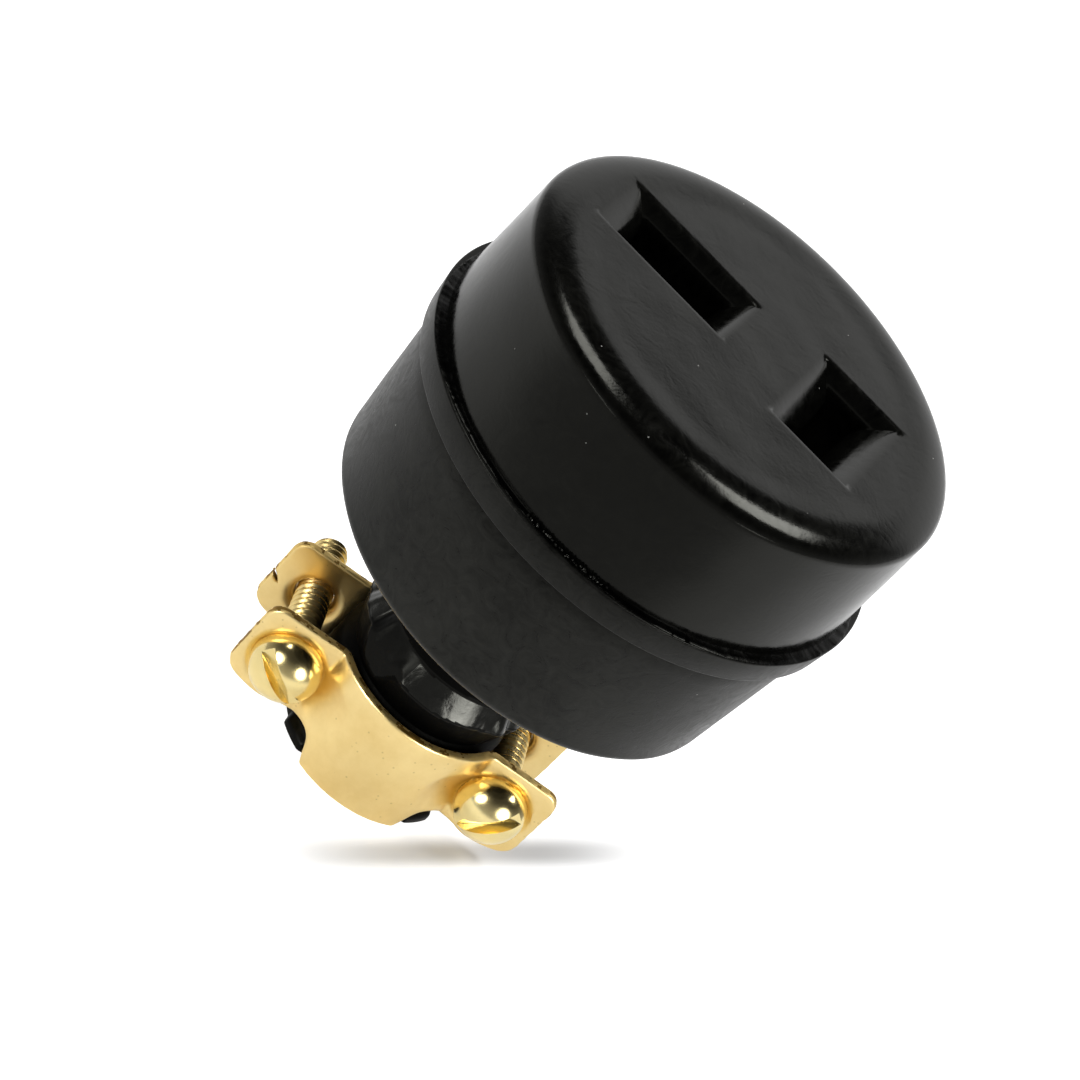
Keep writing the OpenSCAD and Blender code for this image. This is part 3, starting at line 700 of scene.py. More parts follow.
front.add(*lathe(drum_profile, DRUM_STEPS, shift=drum_shift))
print("front piece points:", len(front.points))

# %% [markdown]
# ### The torn flash
#
# Flash is a skin of rubber a few tenths of a millimetre thick at its root, torn off by hand, so its edge
# is thin and ragged, and at two places a leaf of it still stands. Its cross-section is a small closed
# loop rooted in the drum. A table says how far it reaches at each angle, noise frays that edge, and
# crumbs of torn rubber lie along it.

# %% Add the flash and its crumbs
FLASH_STEPS = 1600
FLASH_T, FLASH_T_DRIFT, LEAST_T = 0.10, 0.03, 0.06
FLASH_UP, LEAST_REACH = 0.015, 0.2
FLASH_REACHES = (
    # angle in degrees and how far the flash reaches there
    (0, 0.80), (5, 0.50), (9, 0.30), (60, 0.40), (90, 0.50), (135, 0.40), (174, 0.30), (184, 0.52),
    (192, 0.80), (198, 0.90), (212, 1.12), (222, 1.04), (227, 0.92), (231, 0.76), (240, 0.62),
    (257, 0.58), (285, 0.60), (297, 0.74), (315, 0.92), (321, 1.02), (338, 1.00), (351, 0.98), (360, 0.80),
)
FLASH_SECTION = (
    # out: a share of the reach and a length; up: a length, a share of the thickness and one of the lift
    (0, -0.3, 0, 0, 0), (0.5, 0, 0, 0, 0.1), (1, -0.05, 0, 0, 0.55), (1, 0, 0.06, 0, 0.75),
    (1, -0.06, 0, 0.9, 1), (0.55, 0, 0, 1, 0.5), (0, 0.10, 0, 1.15, 0.1), (0, -0.3, 0.14, 1, 0),
)
FRAY = ((0.06, 0, 1.6), (0.03, 7, 0.5))
LEAVES = ((190, 12, 0.12), (352, 9, 0.12))
LEAF_NOTCH, LEAF_EVEN, LEAF_UNEVEN = 0.07, 0.7, 0.5


def turn_between(angle, middle):
    """The angle between two directions, in degrees, from 0 to 180."""
    return abs((angle - middle + 180) % 360 - 180)


def flash_reach(angle):
    """How far the flash reaches from the drum, and how thick and how lifted it is, at an angle."""
    a = math.radians(angle)
    x, y = FOOT_R * math.cos(a), FOOT_R * math.sin(a)
    reach = 0.0
    for (a0, reach0), (a1, reach1) in zip(FLASH_REACHES, FLASH_REACHES[1:]):
        if a0 <= angle <= a1:
            reach = reach0 + (reach1 - reach0) * (angle - a0) / (a1 - a0)
    reach += sum(far * wobble(x, y, level, size, 3) for far, level, size in FRAY)
    thick = FLASH_T + FLASH_T_DRIFT * wobble(x, y, 3, 1.2)
    lift = 0.0
    for middle, half, up in LEAVES:
        share = 1 - smooth_step(turn_between(angle, middle), half * 0.5, half)
        reach -= LEAF_NOTCH * share * (wobble(x, y, 11, 1.3) > 0.0)
        lift = max(lift, up * share * (LEAF_EVEN + LEAF_UNEVEN * wobble(x, y, 5, 1.5)))
    return max(reach, LEAST_REACH), max(thick, LEAST_T), lift


flash_points = []
for i in range(FLASH_STEPS):
    angle = 360 * i / FLASH_STEPS
    a = math.radians(angle)
    reach, thick, lift = flash_reach(angle)
    for share, more, up, thicks, lifts in FLASH_SECTION:
        r = FOOT_R + reach * share + more
        z = RIM_Z + FLASH_UP + up + thick * thicks + lift * lifts
        flash_points.append((r * math.cos(a), r * math.sin(a), z))
front.add(flash_points, grid_faces(FLASH_STEPS, len(FLASH_SECTION), True, True), 1)

CRUMB_ARC, CRUMBS, CRUMB_SCATTER = (264, 285), 40, 3
CRUMB_ROWS, CRUMB_COLUMNS = 6, 8
CRUMB_ROUGH, CRUMB_BUMPS, CRUMB_FLAT = 0.45, 1.4, 0.7
CRUMB_R, CRUMB_MORE = 0.06, 0.14
CRUMB_OUT, CRUMB_BAND, CRUMB_UP, CRUMB_HEAP = 0.05, 0.5, 0.05, 0.3


def crumb(x, y, z, size, seed):
    """A small rough lump: a rounded grid whose points noise pushes in and out."""
    points = []
    for i in range(CRUMB_ROWS + 1):
        e = math.pi * i / CRUMB_ROWS - math.pi / 2
        for j in range(CRUMB_COLUMNS):
            a = 2 * math.pi * j / CRUMB_COLUMNS
            way = Vector((math.cos(a) * math.cos(e), math.sin(a) * math.cos(e), math.sin(e)))
            bulge = size * (1 + CRUMB_ROUGH * noise.noise(way * CRUMB_BUMPS + Vector((seed, 0, 0))))
            points.append((x + way.x * bulge, y + way.y * bulge, z + way.z * bulge * CRUMB_FLAT))
    return points, grid_faces(CRUMB_ROWS + 1, CRUMB_COLUMNS, False, True)


for k in range(CRUMBS):
    # Two noise values scatter each crumb: one that sets how far out and how small, and one along the arc.
    share = 0.5 + 0.5 * noise.noise(Vector((k * 1.7, 2.3, 0.4)))
    spread = noise.noise(Vector((k * 2.9, 8.1, 1.4)))
    a = math.radians(CRUMB_ARC[0] + (CRUMB_ARC[1] - CRUMB_ARC[0]) * k / CRUMBS + CRUMB_SCATTER * spread)
    r = FOOT_R + CRUMB_OUT + CRUMB_BAND * share
    z = RIM_Z + FLASH_T + CRUMB_UP + CRUMB_HEAP * (0.5 + spread) * (1 - share)
    size = CRUMB_R + CRUMB_MORE * (1 - share)
    front.add(*crumb(r * math.cos(a), r * math.sin(a), z, size, k), 2)
front_finishes = [front_rubber, flash_and_gap_shade_rubber, crumb_rubber]
build("front_drum", front, front_finishes, "front_insulator", fold=34)

# %% [markdown]
# ## The rear shell
#
# The shell is a second moulding: a tapered cup whose upper end thickens to a collar round the drum. Its
# profile is closed, so one lathe makes the outside, the recess and the inside. The collar's lower edge
# and rim get tiny rounds, because an edge only shows as a thin light line when it is not a knife edge.

# %% Build the rear shell
COLLAR_LOW_R = RIM_R - 0.3
COLLAR_Z = RIM_Z - 2.8
COLLAR_STEP, SHELL_TAPER, SHELL_WALL = 0.8, 1.2, 2.4
SHELL_TOP_R = COLLAR_LOW_R - COLLAR_STEP
SHELL_BASE_R = SHELL_TOP_R - SHELL_TAPER
SHELL_FLOOR_Z = BASE_Z + 3
BASE_EDGE_R, SMALL_R, INNER_R = 1.1, 0.18, 0.22
WALL_GAP = 0.25
WAIST_DEEP, WAIST_H = 0.22, 1.9
SHELL_SWELL, SHELL_SWELL_MM, SHELL_IN = 0.05, 8.0, 0.03
SHELL_STEPS = 384
COLLAR_LEAN = -math.degrees(math.atan2(RIM_R - COLLAR_LOW_R, RIM_Z - COLLAR_Z))
wall_low, wall_high = BASE_Z + BASE_EDGE_R, COLLAR_Z - WALL_GAP
waist_low = wall_high - WAIST_H


def shell_inside(z):
    """Radius of the shell's inside at a height."""
    return SHELL_BASE_R - SHELL_WALL + SHELL_TAPER * (z - BASE_Z) / (COLLAR_Z - BASE_Z)


def arc(x, y, radius, start, end, count):
    """Points of an arc about (x, y), between two angles in degrees."""
    turns = [math.radians(a) for a in between(start, end, count)]
    return [(x + radius * math.cos(a), y + radius * math.sin(a)) for a in turns]


def shell_wall(z):
    """Outside radius of the shell at a height: a straight taper, with a shallow waist under the collar."""
    t = min(max((z - waist_low) / WAIST_H, 0.0), 1.0)
    taper = SHELL_BASE_R + (SHELL_TOP_R - SHELL_BASE_R) * (z - wall_low) / (wall_high - wall_low)
    return taper - WAIST_DEEP * t * t


shell_profile = (
    [(NECK_R + FIT_GAP, BASE_Z), (SHELL_BASE_R - BASE_EDGE_R, BASE_Z)]
    + arc(SHELL_BASE_R - BASE_EDGE_R, BASE_Z + BASE_EDGE_R, BASE_EDGE_R, -82, -6, 9)
    + [(shell_wall(z), z) for z in between(wall_low, waist_low, 9)]
    + [(shell_wall(z), z) for z in between(waist_low, wall_high, 9)[1:]]
    + arc(SHELL_TOP_R - WAIST_DEEP + INNER_R, COLLAR_Z - INNER_R, INNER_R, 175, 90, 4)
    + arc(COLLAR_LOW_R - SMALL_R, COLLAR_Z + SMALL_R, SMALL_R, -90, COLLAR_LEAN, 5)
    + arc(RIM_R - SMALL_R, RIM_Z - SMALL_R, SMALL_R, COLLAR_LEAN, 90, 6)
    + [(RECESS_R, RIM_Z), (RECESS_R, SEAT_Z), (shell_inside(SEAT_Z), SEAT_Z),
       (shell_inside(SHELL_FLOOR_Z), SHELL_FLOOR_Z), (NECK_R + FIT_GAP, SHELL_FLOOR_Z)]
)


def shell_shift(r, z, a):
    """Lets the shell's outside swell and shrink by a few hundredths of a millimetre."""
    if r < SHELL_BASE_R - BASE_EDGE_R - NEAR or r < RECESS_R + NEAR and z > COLLAR_Z:
        return r, z
    swell = SHELL_SWELL * wobble(r * math.cos(a), r * math.sin(a), z, SHELL_SWELL_MM)
    return r + swell - SHELL_IN, z


shell = Shape()
shell.add(*lathe(shell_profile, SHELL_STEPS, closed=True, shift=shell_shift))
build("shell_cup", shell, [shell_rubber], "rear_shell", fold=40)

# %% [markdown]
# ## The neck
#
# The cord leaves through a soft rubber neck. Above the clamp it bulges into a bead with flats and folds
# that the mould and the clamp left. A lathe grid with a function for its radius is enough: the bead is a
# straight slope out and one back in, whose levels change round the neck, and each fold is a dent or ridge
# there. The bead is wiped shiny. A band along each of its edges, a stretch of its left side and the foot
# by the notches take a half reflecting finish, and the rest a nearly unreflecting one: these two are
# painted shade, for the shade under and over the bead and on that side. Faces take one of the three by
# their level.

# %% Build the neck
CLAMP_TURN = 17.8
BEAD_LOW, BEAD_HIGH = 14.1, 16.9
LOW_DRIFT, HIGH_DRIFT, BEAD_ARCH, BEAD_FALL, CROWN_UP = 0.25, 0.2, 0.5, 2.2, 0.2
ARCH_AT, ARCH_FADE, FALL_FADE, FALL_END = 10, (6, 40), (9, 20), (-46, -30)
BEAD_R, WAIST_R, GROOVE_R = 9.55, 8.35, 8.4
GROOVE_UP, GROOVE_DOWN = 0.8, 1.5
NECK_ROUGH, NECK_ROUGH_MM = 0.03, 1.6
BORE_R = 6.8
FLANGE_R, FLANGE_T = 12.5, 1.8
NECK_CHAMFER, NECK_PLAIN = 0.5, 0.2
NECK_STEPS = 480
FLATS = (
    # direction and half width in degrees, lowest and highest level, distance of the flat from the axis
    (-23, 15, 12.2, 17.4, 9.0), (92, 14, 13.5, 18, 9.0), (-120, 16, 13, 18, 8.9),
)
FLAT_TILT, FLAT_FADE = 0.08, 20
FOLDS = (
    # direction, width in degrees, height, height's spread, and how far out
    (-37, 2.0, 15.4, 2.2, 0.12), (-44, 2.5, 16.2, 2.6, -0.20),
    (-58, 2.2, 16.6, 2.6, 0.16), (-67, 3.0, 16.0, 2.6, -0.20), (46, 2.5, 14.4, 1.6, -0.10),
    (60, 4.5, 15.1, 1.3, 0.30), (68, 3.5, 14.6, 2.6, -0.30), (120, 4.0, 15.7, 2.8, 0.15),
    (165, 7.0, 15.1, 3.0, -0.2), (-140, 4.0, 15.8, 3.0, 0.15),
)


def bead_place(a):
    """The direction in degrees from the front, and the levels of the bead's crown and upper edge."""
    view = (math.degrees(a) + 90 + 180) % 360 - 180
    x, y = NECK_R * math.cos(a), NECK_R * math.sin(a)
    low = BEAD_LOW + LOW_DRIFT * wobble(x, y, 1, 7.0)
    low += BEAD_ARCH * smooth_step(abs(view - ARCH_AT), *ARCH_FADE)
    low -= BEAD_FALL * smooth_step(-view, *FALL_FADE) * smooth_step(view, *FALL_END)
    return view, low + CROWN_UP, BEAD_HIGH + HIGH_DRIFT * wobble(x, y, 4, 6.0)


def neck_radius(z, a):
    """Radius of the neck at a height and an angle."""
    view, crown, high = bead_place(a)
    x, y = NECK_R * math.cos(a), NECK_R * math.sin(a)
    if z < crown:
        r = WAIST_R + (BEAD_R - WAIST_R) * max(z - STRAP_H, 0.0) / (crown - STRAP_H)
    else:
        r = BEAD_R - (BEAD_R - GROOVE_R) * min((z - crown) / (high - crown), 1.0)
    r += (NECK_R - GROOVE_R) * smooth_step(z, high + GROOVE_UP, BASE_Z - GROOVE_DOWN)
    for way, width, level, spread, out in FOLDS:
        near = math.exp(-((turn_between(view, way) / width) ** 2))
        r += out * near * math.exp(-(((z - level) / spread) ** 2))
    for way, half, bottom, top, flat in FLATS:
        lean = turn_between(view, way)
        if lean < half + FLAT_FADE and bottom < z < top:
            flat -= FLAT_TILT * (z - (bottom + top) / 2)
            r = min(r, flat / math.cos(math.radians(lean)))
    return r + NECK_ROUGH * wobble(x, y, z, NECK_ROUGH_MM, 3)


# The arc on the bead's left side that takes the half reflecting finish, as painted shade.
HALF_SHADE_ARC = (-46, -6)
BULGE, BULGE_TOP, BULGE_ARC = 0.7, 2.0, (33, 39, 55, 62)
EDGE_OUT, EDGE_IN = 0.15, 0.2


def notch_bulge(z, a):
    """How far the rubber swells out under a strap's lower edge, in the four notches beside the tongues."""
    lean = turn_between(math.degrees(a), CLAMP_TURN + 90)
    lean = min(lean, 180 - lean)
    share = smooth_step(lean, *BULGE_ARC[:2]) * (1 - smooth_step(lean, *BULGE_ARC[2:]))
    return BULGE * share * (1 - smooth_step(z, BULGE_TOP / 2, BULGE_TOP))


neck_levels = (
    between(NECK_CHAMFER, 2.6, 11) + between(3.4, 11.0, 9)
    + between(11.15, 18.5, 56) + between(19.0, SHELL_FLOOR_Z, 9)
)
inner_profile = [
    (FLANGE_R, SHELL_FLOOR_Z), (FLANGE_R, SHELL_FLOOR_Z + FLANGE_T), (BORE_R, SHELL_FLOOR_Z + FLANGE_T),
    (BORE_R, NECK_CHAMFER), (BORE_R + NECK_CHAMFER, 0), (NECK_R - NECK_CHAMFER, 0),
]
neck_profile = [(NECK_R, z) for z in neck_levels] + inner_profile


def neck_shift(r, z, a):
    """Gives the outside of the neck its bead, and leaves the rest as it is."""
    if r != NECK_R or z > BASE_Z - NECK_PLAIN:
        return r, z
    if z < STRAP_H:
        return r + notch_bulge(z, a), z
    return neck_radius(z, a), z


neck = Shape()
neck.add(*lathe(neck_profile, NECK_STEPS, closed=True, shift=neck_shift))
# Each face takes the shiny finish or one of the two painted-shade finishes, by its level.
for k, face in enumerate(neck.faces):
    x, y, z = (sum(neck.points[i][axis] for i in face) / len(face) for axis in range(3))
    view, crown, high = bead_place(math.atan2(y, x))
    outside = min(abs(z - crown), abs(z - high)) * (1 if crown < z < high else -1)
    shiny = outside > EDGE_OUT and not HALF_SHADE_ARC[0] < view < HALF_SHADE_ARC[1]
    neck.paints[k] = 0 if shiny or z > BASE_Z else 1 if outside > -EDGE_IN or z < BULGE_TOP else 2
neck_finishes = [sleeve_rubber, half_shade_rubber, deep_shade_rubber]
build("neck_tube", neck, neck_finishes, "cord_sleeve", fold=42)

# %% [markdown]
# ## The straps
#
# Each strap was sheared from strip, bent over a former and pressed at its two eyes. Building it flat,
# with a distance along the strip and a height, keeps the outline simple. A function then bends every
# point: along the saddle's arc, back round the small bend, and out along the flat ear.

# %% Bend a flat strip
STRAP_T = 0.9
SADDLE_R = NECK_R + FIT_GAP + STRAP_T / 2
EAR_MID = 4.6 + STRAP_T / 2
BEND_R = 1.0
BEND_OUT = EAR_MID + BEND_R
BEND_ALONG = math.sqrt((SADDLE_R + BEND_R) ** 2 - BEND_OUT ** 2)
BEND_ANGLE = math.atan2(BEND_ALONG, BEND_OUT)
SADDLE_END = SADDLE_R * BEND_ANGLE
BEND_END = SADDLE_END + BEND_R * BEND_ANGLE
EAR_REACH = 16.0
STRIP_END = BEND_END + EAR_REACH - BEND_ALONG
EYE_ALONG = 11.5
EYE_S = BEND_END + EYE_ALONG - BEND_ALONG
EYE_H = STRAP_H - 5.0

turn = math.radians(CLAMP_TURN)
ALONG = Vector((math.cos(turn), math.sin(turn), 0))
ACROSS = Vector((-math.sin(turn), math.cos(turn), 0))


def bent(s, w):
    """Where a point s along the strip and w out of its middle lies: along the clamp, and away from it."""
    side, s = (-1 if s < 0 else 1), abs(s)
    if s <= SADDLE_END:
        a = s / SADDLE_R
        return side * (SADDLE_R + w) * math.sin(a), (SADDLE_R + w) * math.cos(a)
    if s <= BEND_END:
        a = BEND_ANGLE - (s - SADDLE_END) / BEND_R
        return (side * (BEND_ALONG - (BEND_R - w) * math.sin(a)), BEND_OUT - (BEND_R - w) * math.cos(a))
    return side * (BEND_ALONG + s - BEND_END), EAR_MID + w


print(f"strip length {2 * STRIP_END:.1f}, eyes at {EYE_S:.2f} along it")

# %% [markdown]
# ### The blank
#
# Seen flat, the blank is a saddle with a tongue that reaches the neck's end, two arched notches beside
# it, and an ear at each end with rounded corners. The die pulled the lower edge along when it pressed the
# eyes, so that edge is a smooth curve through measured places. The points are resampled so that they lie
# evenly, and each knows which way is out, so that a sheared edge can be rounded and roughened.

# %% Outline the blank
CORNER_R = 1.5
EDGE_STEP = 0.24
BESIDE = 0.001
LOWER_EDGE = (
    # distance from the middle along the strip, and height, from the tongue to the ear's lower corner
    (5.10, 0.0), (5.36, 0.14), (5.56, 0.50), (5.86, 1.12), (6.20, 1.90), (6.56, 2.42), (7.05, 2.70),
    (7.70, 2.76), (8.35, 2.66), (9.10, 2.38), (9.90, 2.16), (10.80, 2.04), (11.60, 1.86), (12.30, 1.62),
    (13.20, 1.50), (14.10, 1.56), (15.00, 1.72), (15.80, 1.92), (16.50, 2.22), (17.04, 2.68),
    (17.36, 3.24), (17.485, 3.90),
)


def resampled(points, step):
    """The closed loop through the points, with a new point about every step."""
    made = []
    for (x0, y0), (x1, y1) in zip(points, points[1:] + points[:1]):
        count = max(1, round(math.hypot(x1 - x0, y1 - y0) / step))
        made += [(x0 + (x1 - x0) * k / count, y0 + (y1 - y0) * k / count) for k in range(count)]
    return made


def curve(points, count):
    """A smooth curve through the points, with count steps between each two."""
    ends = [points[0]] + list(points) + [points[-1]]
    made = []
    for four in zip(ends, ends[1:], ends[2:], ends[3:]):
        for k in range(count):
            t, spot = k / count, []
            for p, q, r, o in zip(*four):
                square, cube = 2 * p - 5 * q + 4 * r - o, 3 * q - p - 3 * r + o
                spot.append(0.5 * (2 * q + (r - p) * t + square * t ** 2 + cube * t ** 3))
            made.append(tuple(spot))
    return made + [points[-1]]


def blank_outline(nick=()):
    """The loop round the flat blank, from the middle of the tongue's end and to the right first.
    A nick is a few points cut into the left end."""
    low = curve(LOWER_EDGE, 4)
    high = arc(STRIP_END - CORNER_R, STRAP_H - CORNER_R, CORNER_R, 2, 88, 9)
    left = [(-x, y) for x, y in reversed(high)] + list(nick) + [(-x, y) for x, y in reversed(low)]
    loop = [(BESIDE, 0)] + low + high + [(BESIDE, STRAP_H), (-BESIDE, STRAP_H)] + left
    return resampled(loop, EDGE_STEP)


def outward(loop):
    """The outward direction at each point of a loop that runs counterclockwise."""
    ways = []
    for before, after in zip(loop[-1:] + loop[:-1], loop[1:] + loop[:1]):
        dx, dy = after[0] - before[0], after[1] - before[1]
        length = math.hypot(dx, dy) or 1.0
        ways.append((dy / length, -dx / length))
    return ways


NICK = [(x - STRIP_END, y) for x, y in ((0, 6.5), (0.5, 6.02), (1.0, 5.35), (0.25, 5.8), (0, 6.1))]
blanks = {True: blank_outline(), False: blank_outline(NICK)}
print("points round the blanks:", [len(blank) for blank in blanks.values()])

# %% [markdown]
# ### Pressing and placing
#
# A press tool seats each screw head in a shallow dish and draws a collar at each eye of the other strap.
# The dish is made after bending, as the tool does: near the screw's axis no point may stand further out
# than the tool's nose and its sloped flank allow, which also dents the bend beside the head.

# %% Build both straps
HALF_T = STRAP_T / 2
RIM_ROWS = (
    # how far inside the outline, and how far out of the strip's middle
    (0.24, HALF_T), (0.12, HALF_T - 0.04), (0.045, HALF_T - 0.11), (0.0, HALF_T - 0.22), (0.0, 0.08),
    (0.0, -0.10), (0.0, -HALF_T + 0.18), (0.03, -HALF_T + 0.08), (0.10, -HALF_T + 0.02), (0.24, -HALF_T),
)
EDGE_ROWS = (2, 7)
SHEAR_ROUGH, SHEAR_MM, SHEAR_SKEW, SHEAR_FADE = 0.08, 0.55, 1.2, (0.05, 0.2)
CUT_OVER, CUT_LONG, CUT_SHIFT = 0.16, 1.1, 0.25
NICK_AT, NICK_WIDE = (-STRIP_END, 6), 1.1
STRAP_RIPPLE, STRAP_RIPPLE_MM = 0.05, 4.5
SHEET_STEP, SHEET_MARGIN = 0.34, 0.17
DISH_R, DISH_H, DISH_FLANK, DISH_SOFT = 3.5, 0.35, 1.1, 0.10
SCREW_HOLE_R = 1.85
MOUTH_R = 2.95
COLLAR_OUT = 1.8
EYE_STEPS = 56


def pressed(along, out, z, w):
    """Pushes a point of the head-side strap in, where the press tool's nose or flank meets it."""
    reach = min(math.hypot(along - side * EYE_ALONG, z - EYE_H) for side in (-1, 1))
    outer = EAR_MID + HALF_T - DISH_H + max(0.0, reach - DISH_R) * DISH_FLANK
    limit = outer - (HALF_T - w)
    gap = out - limit
    if gap > DISH_SOFT:
        return limit
    if gap > -DISH_SOFT:
        return out - (gap + DISH_SOFT) ** 2 / (4 * DISH_SOFT)
    return out


def strap_point(s, h, w, heads):
    """A point of a strap in the part's frame, from its place on the flat blank."""
    ripple = STRAP_RIPPLE * wobble(s, h, 3 if heads else 9, STRAP_RIPPLE_MM)
    along, out = bent(s, w + ripple)
    if heads:
        out = pressed(along, out, h, w)
    place = ALONG * along + ACROSS * (-out if heads else out)
    return place.x, place.y, max(h, 0.0)


COLLAR_TIP = HALF_T + COLLAR_OUT
EYE_PROFILES = {
    # rows of radius and w through an eye, from the outer skin of the strip to its inner skin
    True: (
        (SCREW_HOLE_R, HALF_T), (SCREW_HOLE_R - 0.04, HALF_T - 0.08),
        (SCREW_HOLE_R - 0.04, -HALF_T + 0.08), (SCREW_HOLE_R, -HALF_T),
    ),
    False: (
        (MOUTH_R, HALF_T), (2.93, HALF_T + 0.10), (2.88, HALF_T + 0.35), (2.76, COLLAR_TIP - 0.12),
        (2.66, COLLAR_TIP), (1.98, COLLAR_TIP), (1.86, COLLAR_TIP - 0.10), (1.86, 0.7), (1.90, 0.42),
        (2.00, 0.16), (2.15, -0.06), (2.36, -0.25), (2.62, -0.38), (MOUTH_R, -HALF_T),
    ),
}


def strap(name, heads, node):
    """Builds one strap: two skins, the sheared rim between them, and the two eyes."""
    shape = Shape()
    blank = blanks[heads]
    blank_ways = outward(blank)
    inset = RIM_ROWS[0][0]
    skin = [(x - dx * inset, y - dy * inset) for (x, y), (dx, dy) in zip(blank, blank_ways)]
    profile = EYE_PROFILES[heads]
    eyes = [circle(side * EYE_S, EYE_H, profile[0][0], EYE_STEPS) for side in (-1, 1)]
    corners, triangles = sheet(skin, eyes, SHEET_STEP, SHEET_MARGIN)
    for w in (HALF_T, -HALF_T):
        shape.add([strap_point(s, h, w, heads) for s, h in corners], triangles)
    rows = []
    for inset, w in RIM_ROWS:
        rough = SHEAR_ROUGH * smooth_step(HALF_T - abs(w), *SHEAR_FADE)
        row = []
        for (x, y), (dx, dy) in zip(blank, blank_ways):
            push = rough * wobble(x, y, SHEAR_SKEW * w + (20 if heads else 40), SHEAR_MM, 3) - inset
            row.append(strap_point(x + dx * push, y + dy * push, w, heads))
        rows.append(row)
    start = len(shape.faces)
    shape.add([p for row in rows for p in row], grid_faces(len(rows), len(blank), False, True), 1)
    for k in range(start, len(shape.faces)):
        row, column = divmod(k - start, len(blank))
        x, y = blank[column]
        torn = wobble(x, y, (3 if heads else 5) + CUT_SHIFT * row, CUT_LONG, 3) > CUT_OVER
        torn = torn or math.dist((x, y), NICK_AT) < NICK_WIDE
        on_skin = row < EDGE_ROWS[0] or row > EDGE_ROWS[1]
        shape.paints[k] = 0 if on_skin else 2 if torn and row < EDGE_ROWS[1] else 1
    for side in (-1, 1):
        points = []
        for radius, w in profile:
            ring = circle(side * EYE_S, EYE_H, radius, EYE_STEPS)
            points += [strap_point(s, h, w, heads) for s, h in ring]
        shape.add(points, grid_faces(len(profile), EYE_STEPS, False, True))
    build(name, shape, [strap_brass, edge_brass, cut_brass], node, fold=38)


strap("head_side_strap", True, "clamp_front_strap")
strap("tapped_strap", False, "clamp_rear_strap")

# %% [markdown]
# ## The clamp screws
#
# A round-head screw is headed from wire, its thread is rolled and its slot is milled. The head is a lathe
# profile, and its slot is cut by a Boolean and then bevelled, so it keeps a small burr-like edge. The
# thread is a grid round the shank whose radius follows a V along a helix of the real pitch.

# %% Build the clamp screws
HEAD_R, HEAD_RIM, HEAD_DOME, HEAD_EDGE = 3.4, 0.7, 2.6, 0.1
DOME_FROM, DOME_ROWS, HEAD_STEPS = 0.06, 24, 96
SLOT_W, SLOT_DEEP, SLOT_EDGE, SLOT_FOLD = 1.3, 1.5, 0.05, 38
SCREW_R, SCREW_L, TIP_CUT, TIP_LONG = 1.75, 17.8, 0.5, 0.7
PITCH, THREAD_DEEP, THREAD_HALF, THREAD_LEAD = 0.8, 0.33, 0.42, (0.3, 1.2)
TURN_STEPS, PITCH_STEPS = 48, 11
HEAD_SEAT = EAR_MID + HALF_T - DISH_H
HEAD_WELD = 1e-4


def mesh_piece(name, points, faces):
    """A bare mesh object in millimetres, for a modifier to work on."""
    mesh = bpy.data.meshes.new(name)
    mesh.from_pydata(points, [], faces)
    made = bpy.data.objects.new(name, mesh)
    bpy.context.scene.collection.objects.link(made)
    return made


def slotted_head(slot_turn):
    """Points and faces of the head, with its underside at height 0 and its dome below it."""
    turns = between(DOME_FROM, math.pi / 2, DOME_ROWS)
    dome = [(HEAD_R * math.cos(a), -HEAD_RIM - HEAD_DOME * math.sin(a)) for a in turns]
    dome[-1] = (0.0, -HEAD_RIM - HEAD_DOME)
    rim = [(0, 0), (HEAD_R - HEAD_EDGE, 0), (HEAD_R, -HEAD_EDGE), (HEAD_R, -HEAD_RIM + HEAD_EDGE / 2)]
    head = mesh_piece("head_work", *lathe(rim + dome, HEAD_STEPS))
    work = bmesh.new()
    work.from_mesh(head.data)
    bmesh.ops.remove_doubles(work, verts=work.verts, dist=HEAD_WELD)
    bmesh.ops.dissolve_degenerate(work, edges=work.edges, dist=HEAD_WELD)
    bmesh.ops.recalc_face_normals(work, faces=work.faces)
    work.to_mesh(head.data)
    work.free()
    half, top, bottom = SLOT_W / 2, -HEAD_RIM - HEAD_DOME - 1, -HEAD_RIM - HEAD_DOME + SLOT_DEEP
    reach = HEAD_R + 1
    box = [(x, y, z) for x in (-reach, reach) for y in (-half, half) for z in (top, bottom)]
    tilt = math.radians(slot_turn)
    box = [
        (x * math.cos(tilt) - y * math.sin(tilt), x * math.sin(tilt) + y * math.cos(tilt), z)
        for x, y, z in box
    ]
    cutter = mesh_piece(
        "cutter", box,
        [[0, 1, 3, 2], [4, 6, 7, 5], [0, 4, 5, 1], [2, 3, 7, 6], [0, 2, 6, 4], [1, 5, 7, 3]],
    )
    cut = head.modifiers.new("slot", "BOOLEAN")
    cut.operation, cut.object, cut.solver = "DIFFERENCE", cutter, "EXACT"
    edge = head.modifiers.new("edge", "BEVEL")
    edge.width, edge.segments, edge.limit_method = SLOT_EDGE, 2, "ANGLE"
    edge.angle_limit = math.radians(SLOT_FOLD)
    bpy.context.view_layer.update()
    shaped = head.evaluated_get(bpy.context.evaluated_depsgraph_get()).to_mesh()
    made = [tuple(v.co) for v in shaped.vertices], [list(f.vertices) for f in shaped.polygons]
    bpy.data.objects.remove(head)
    bpy.data.objects.remove(cutter)
    return made


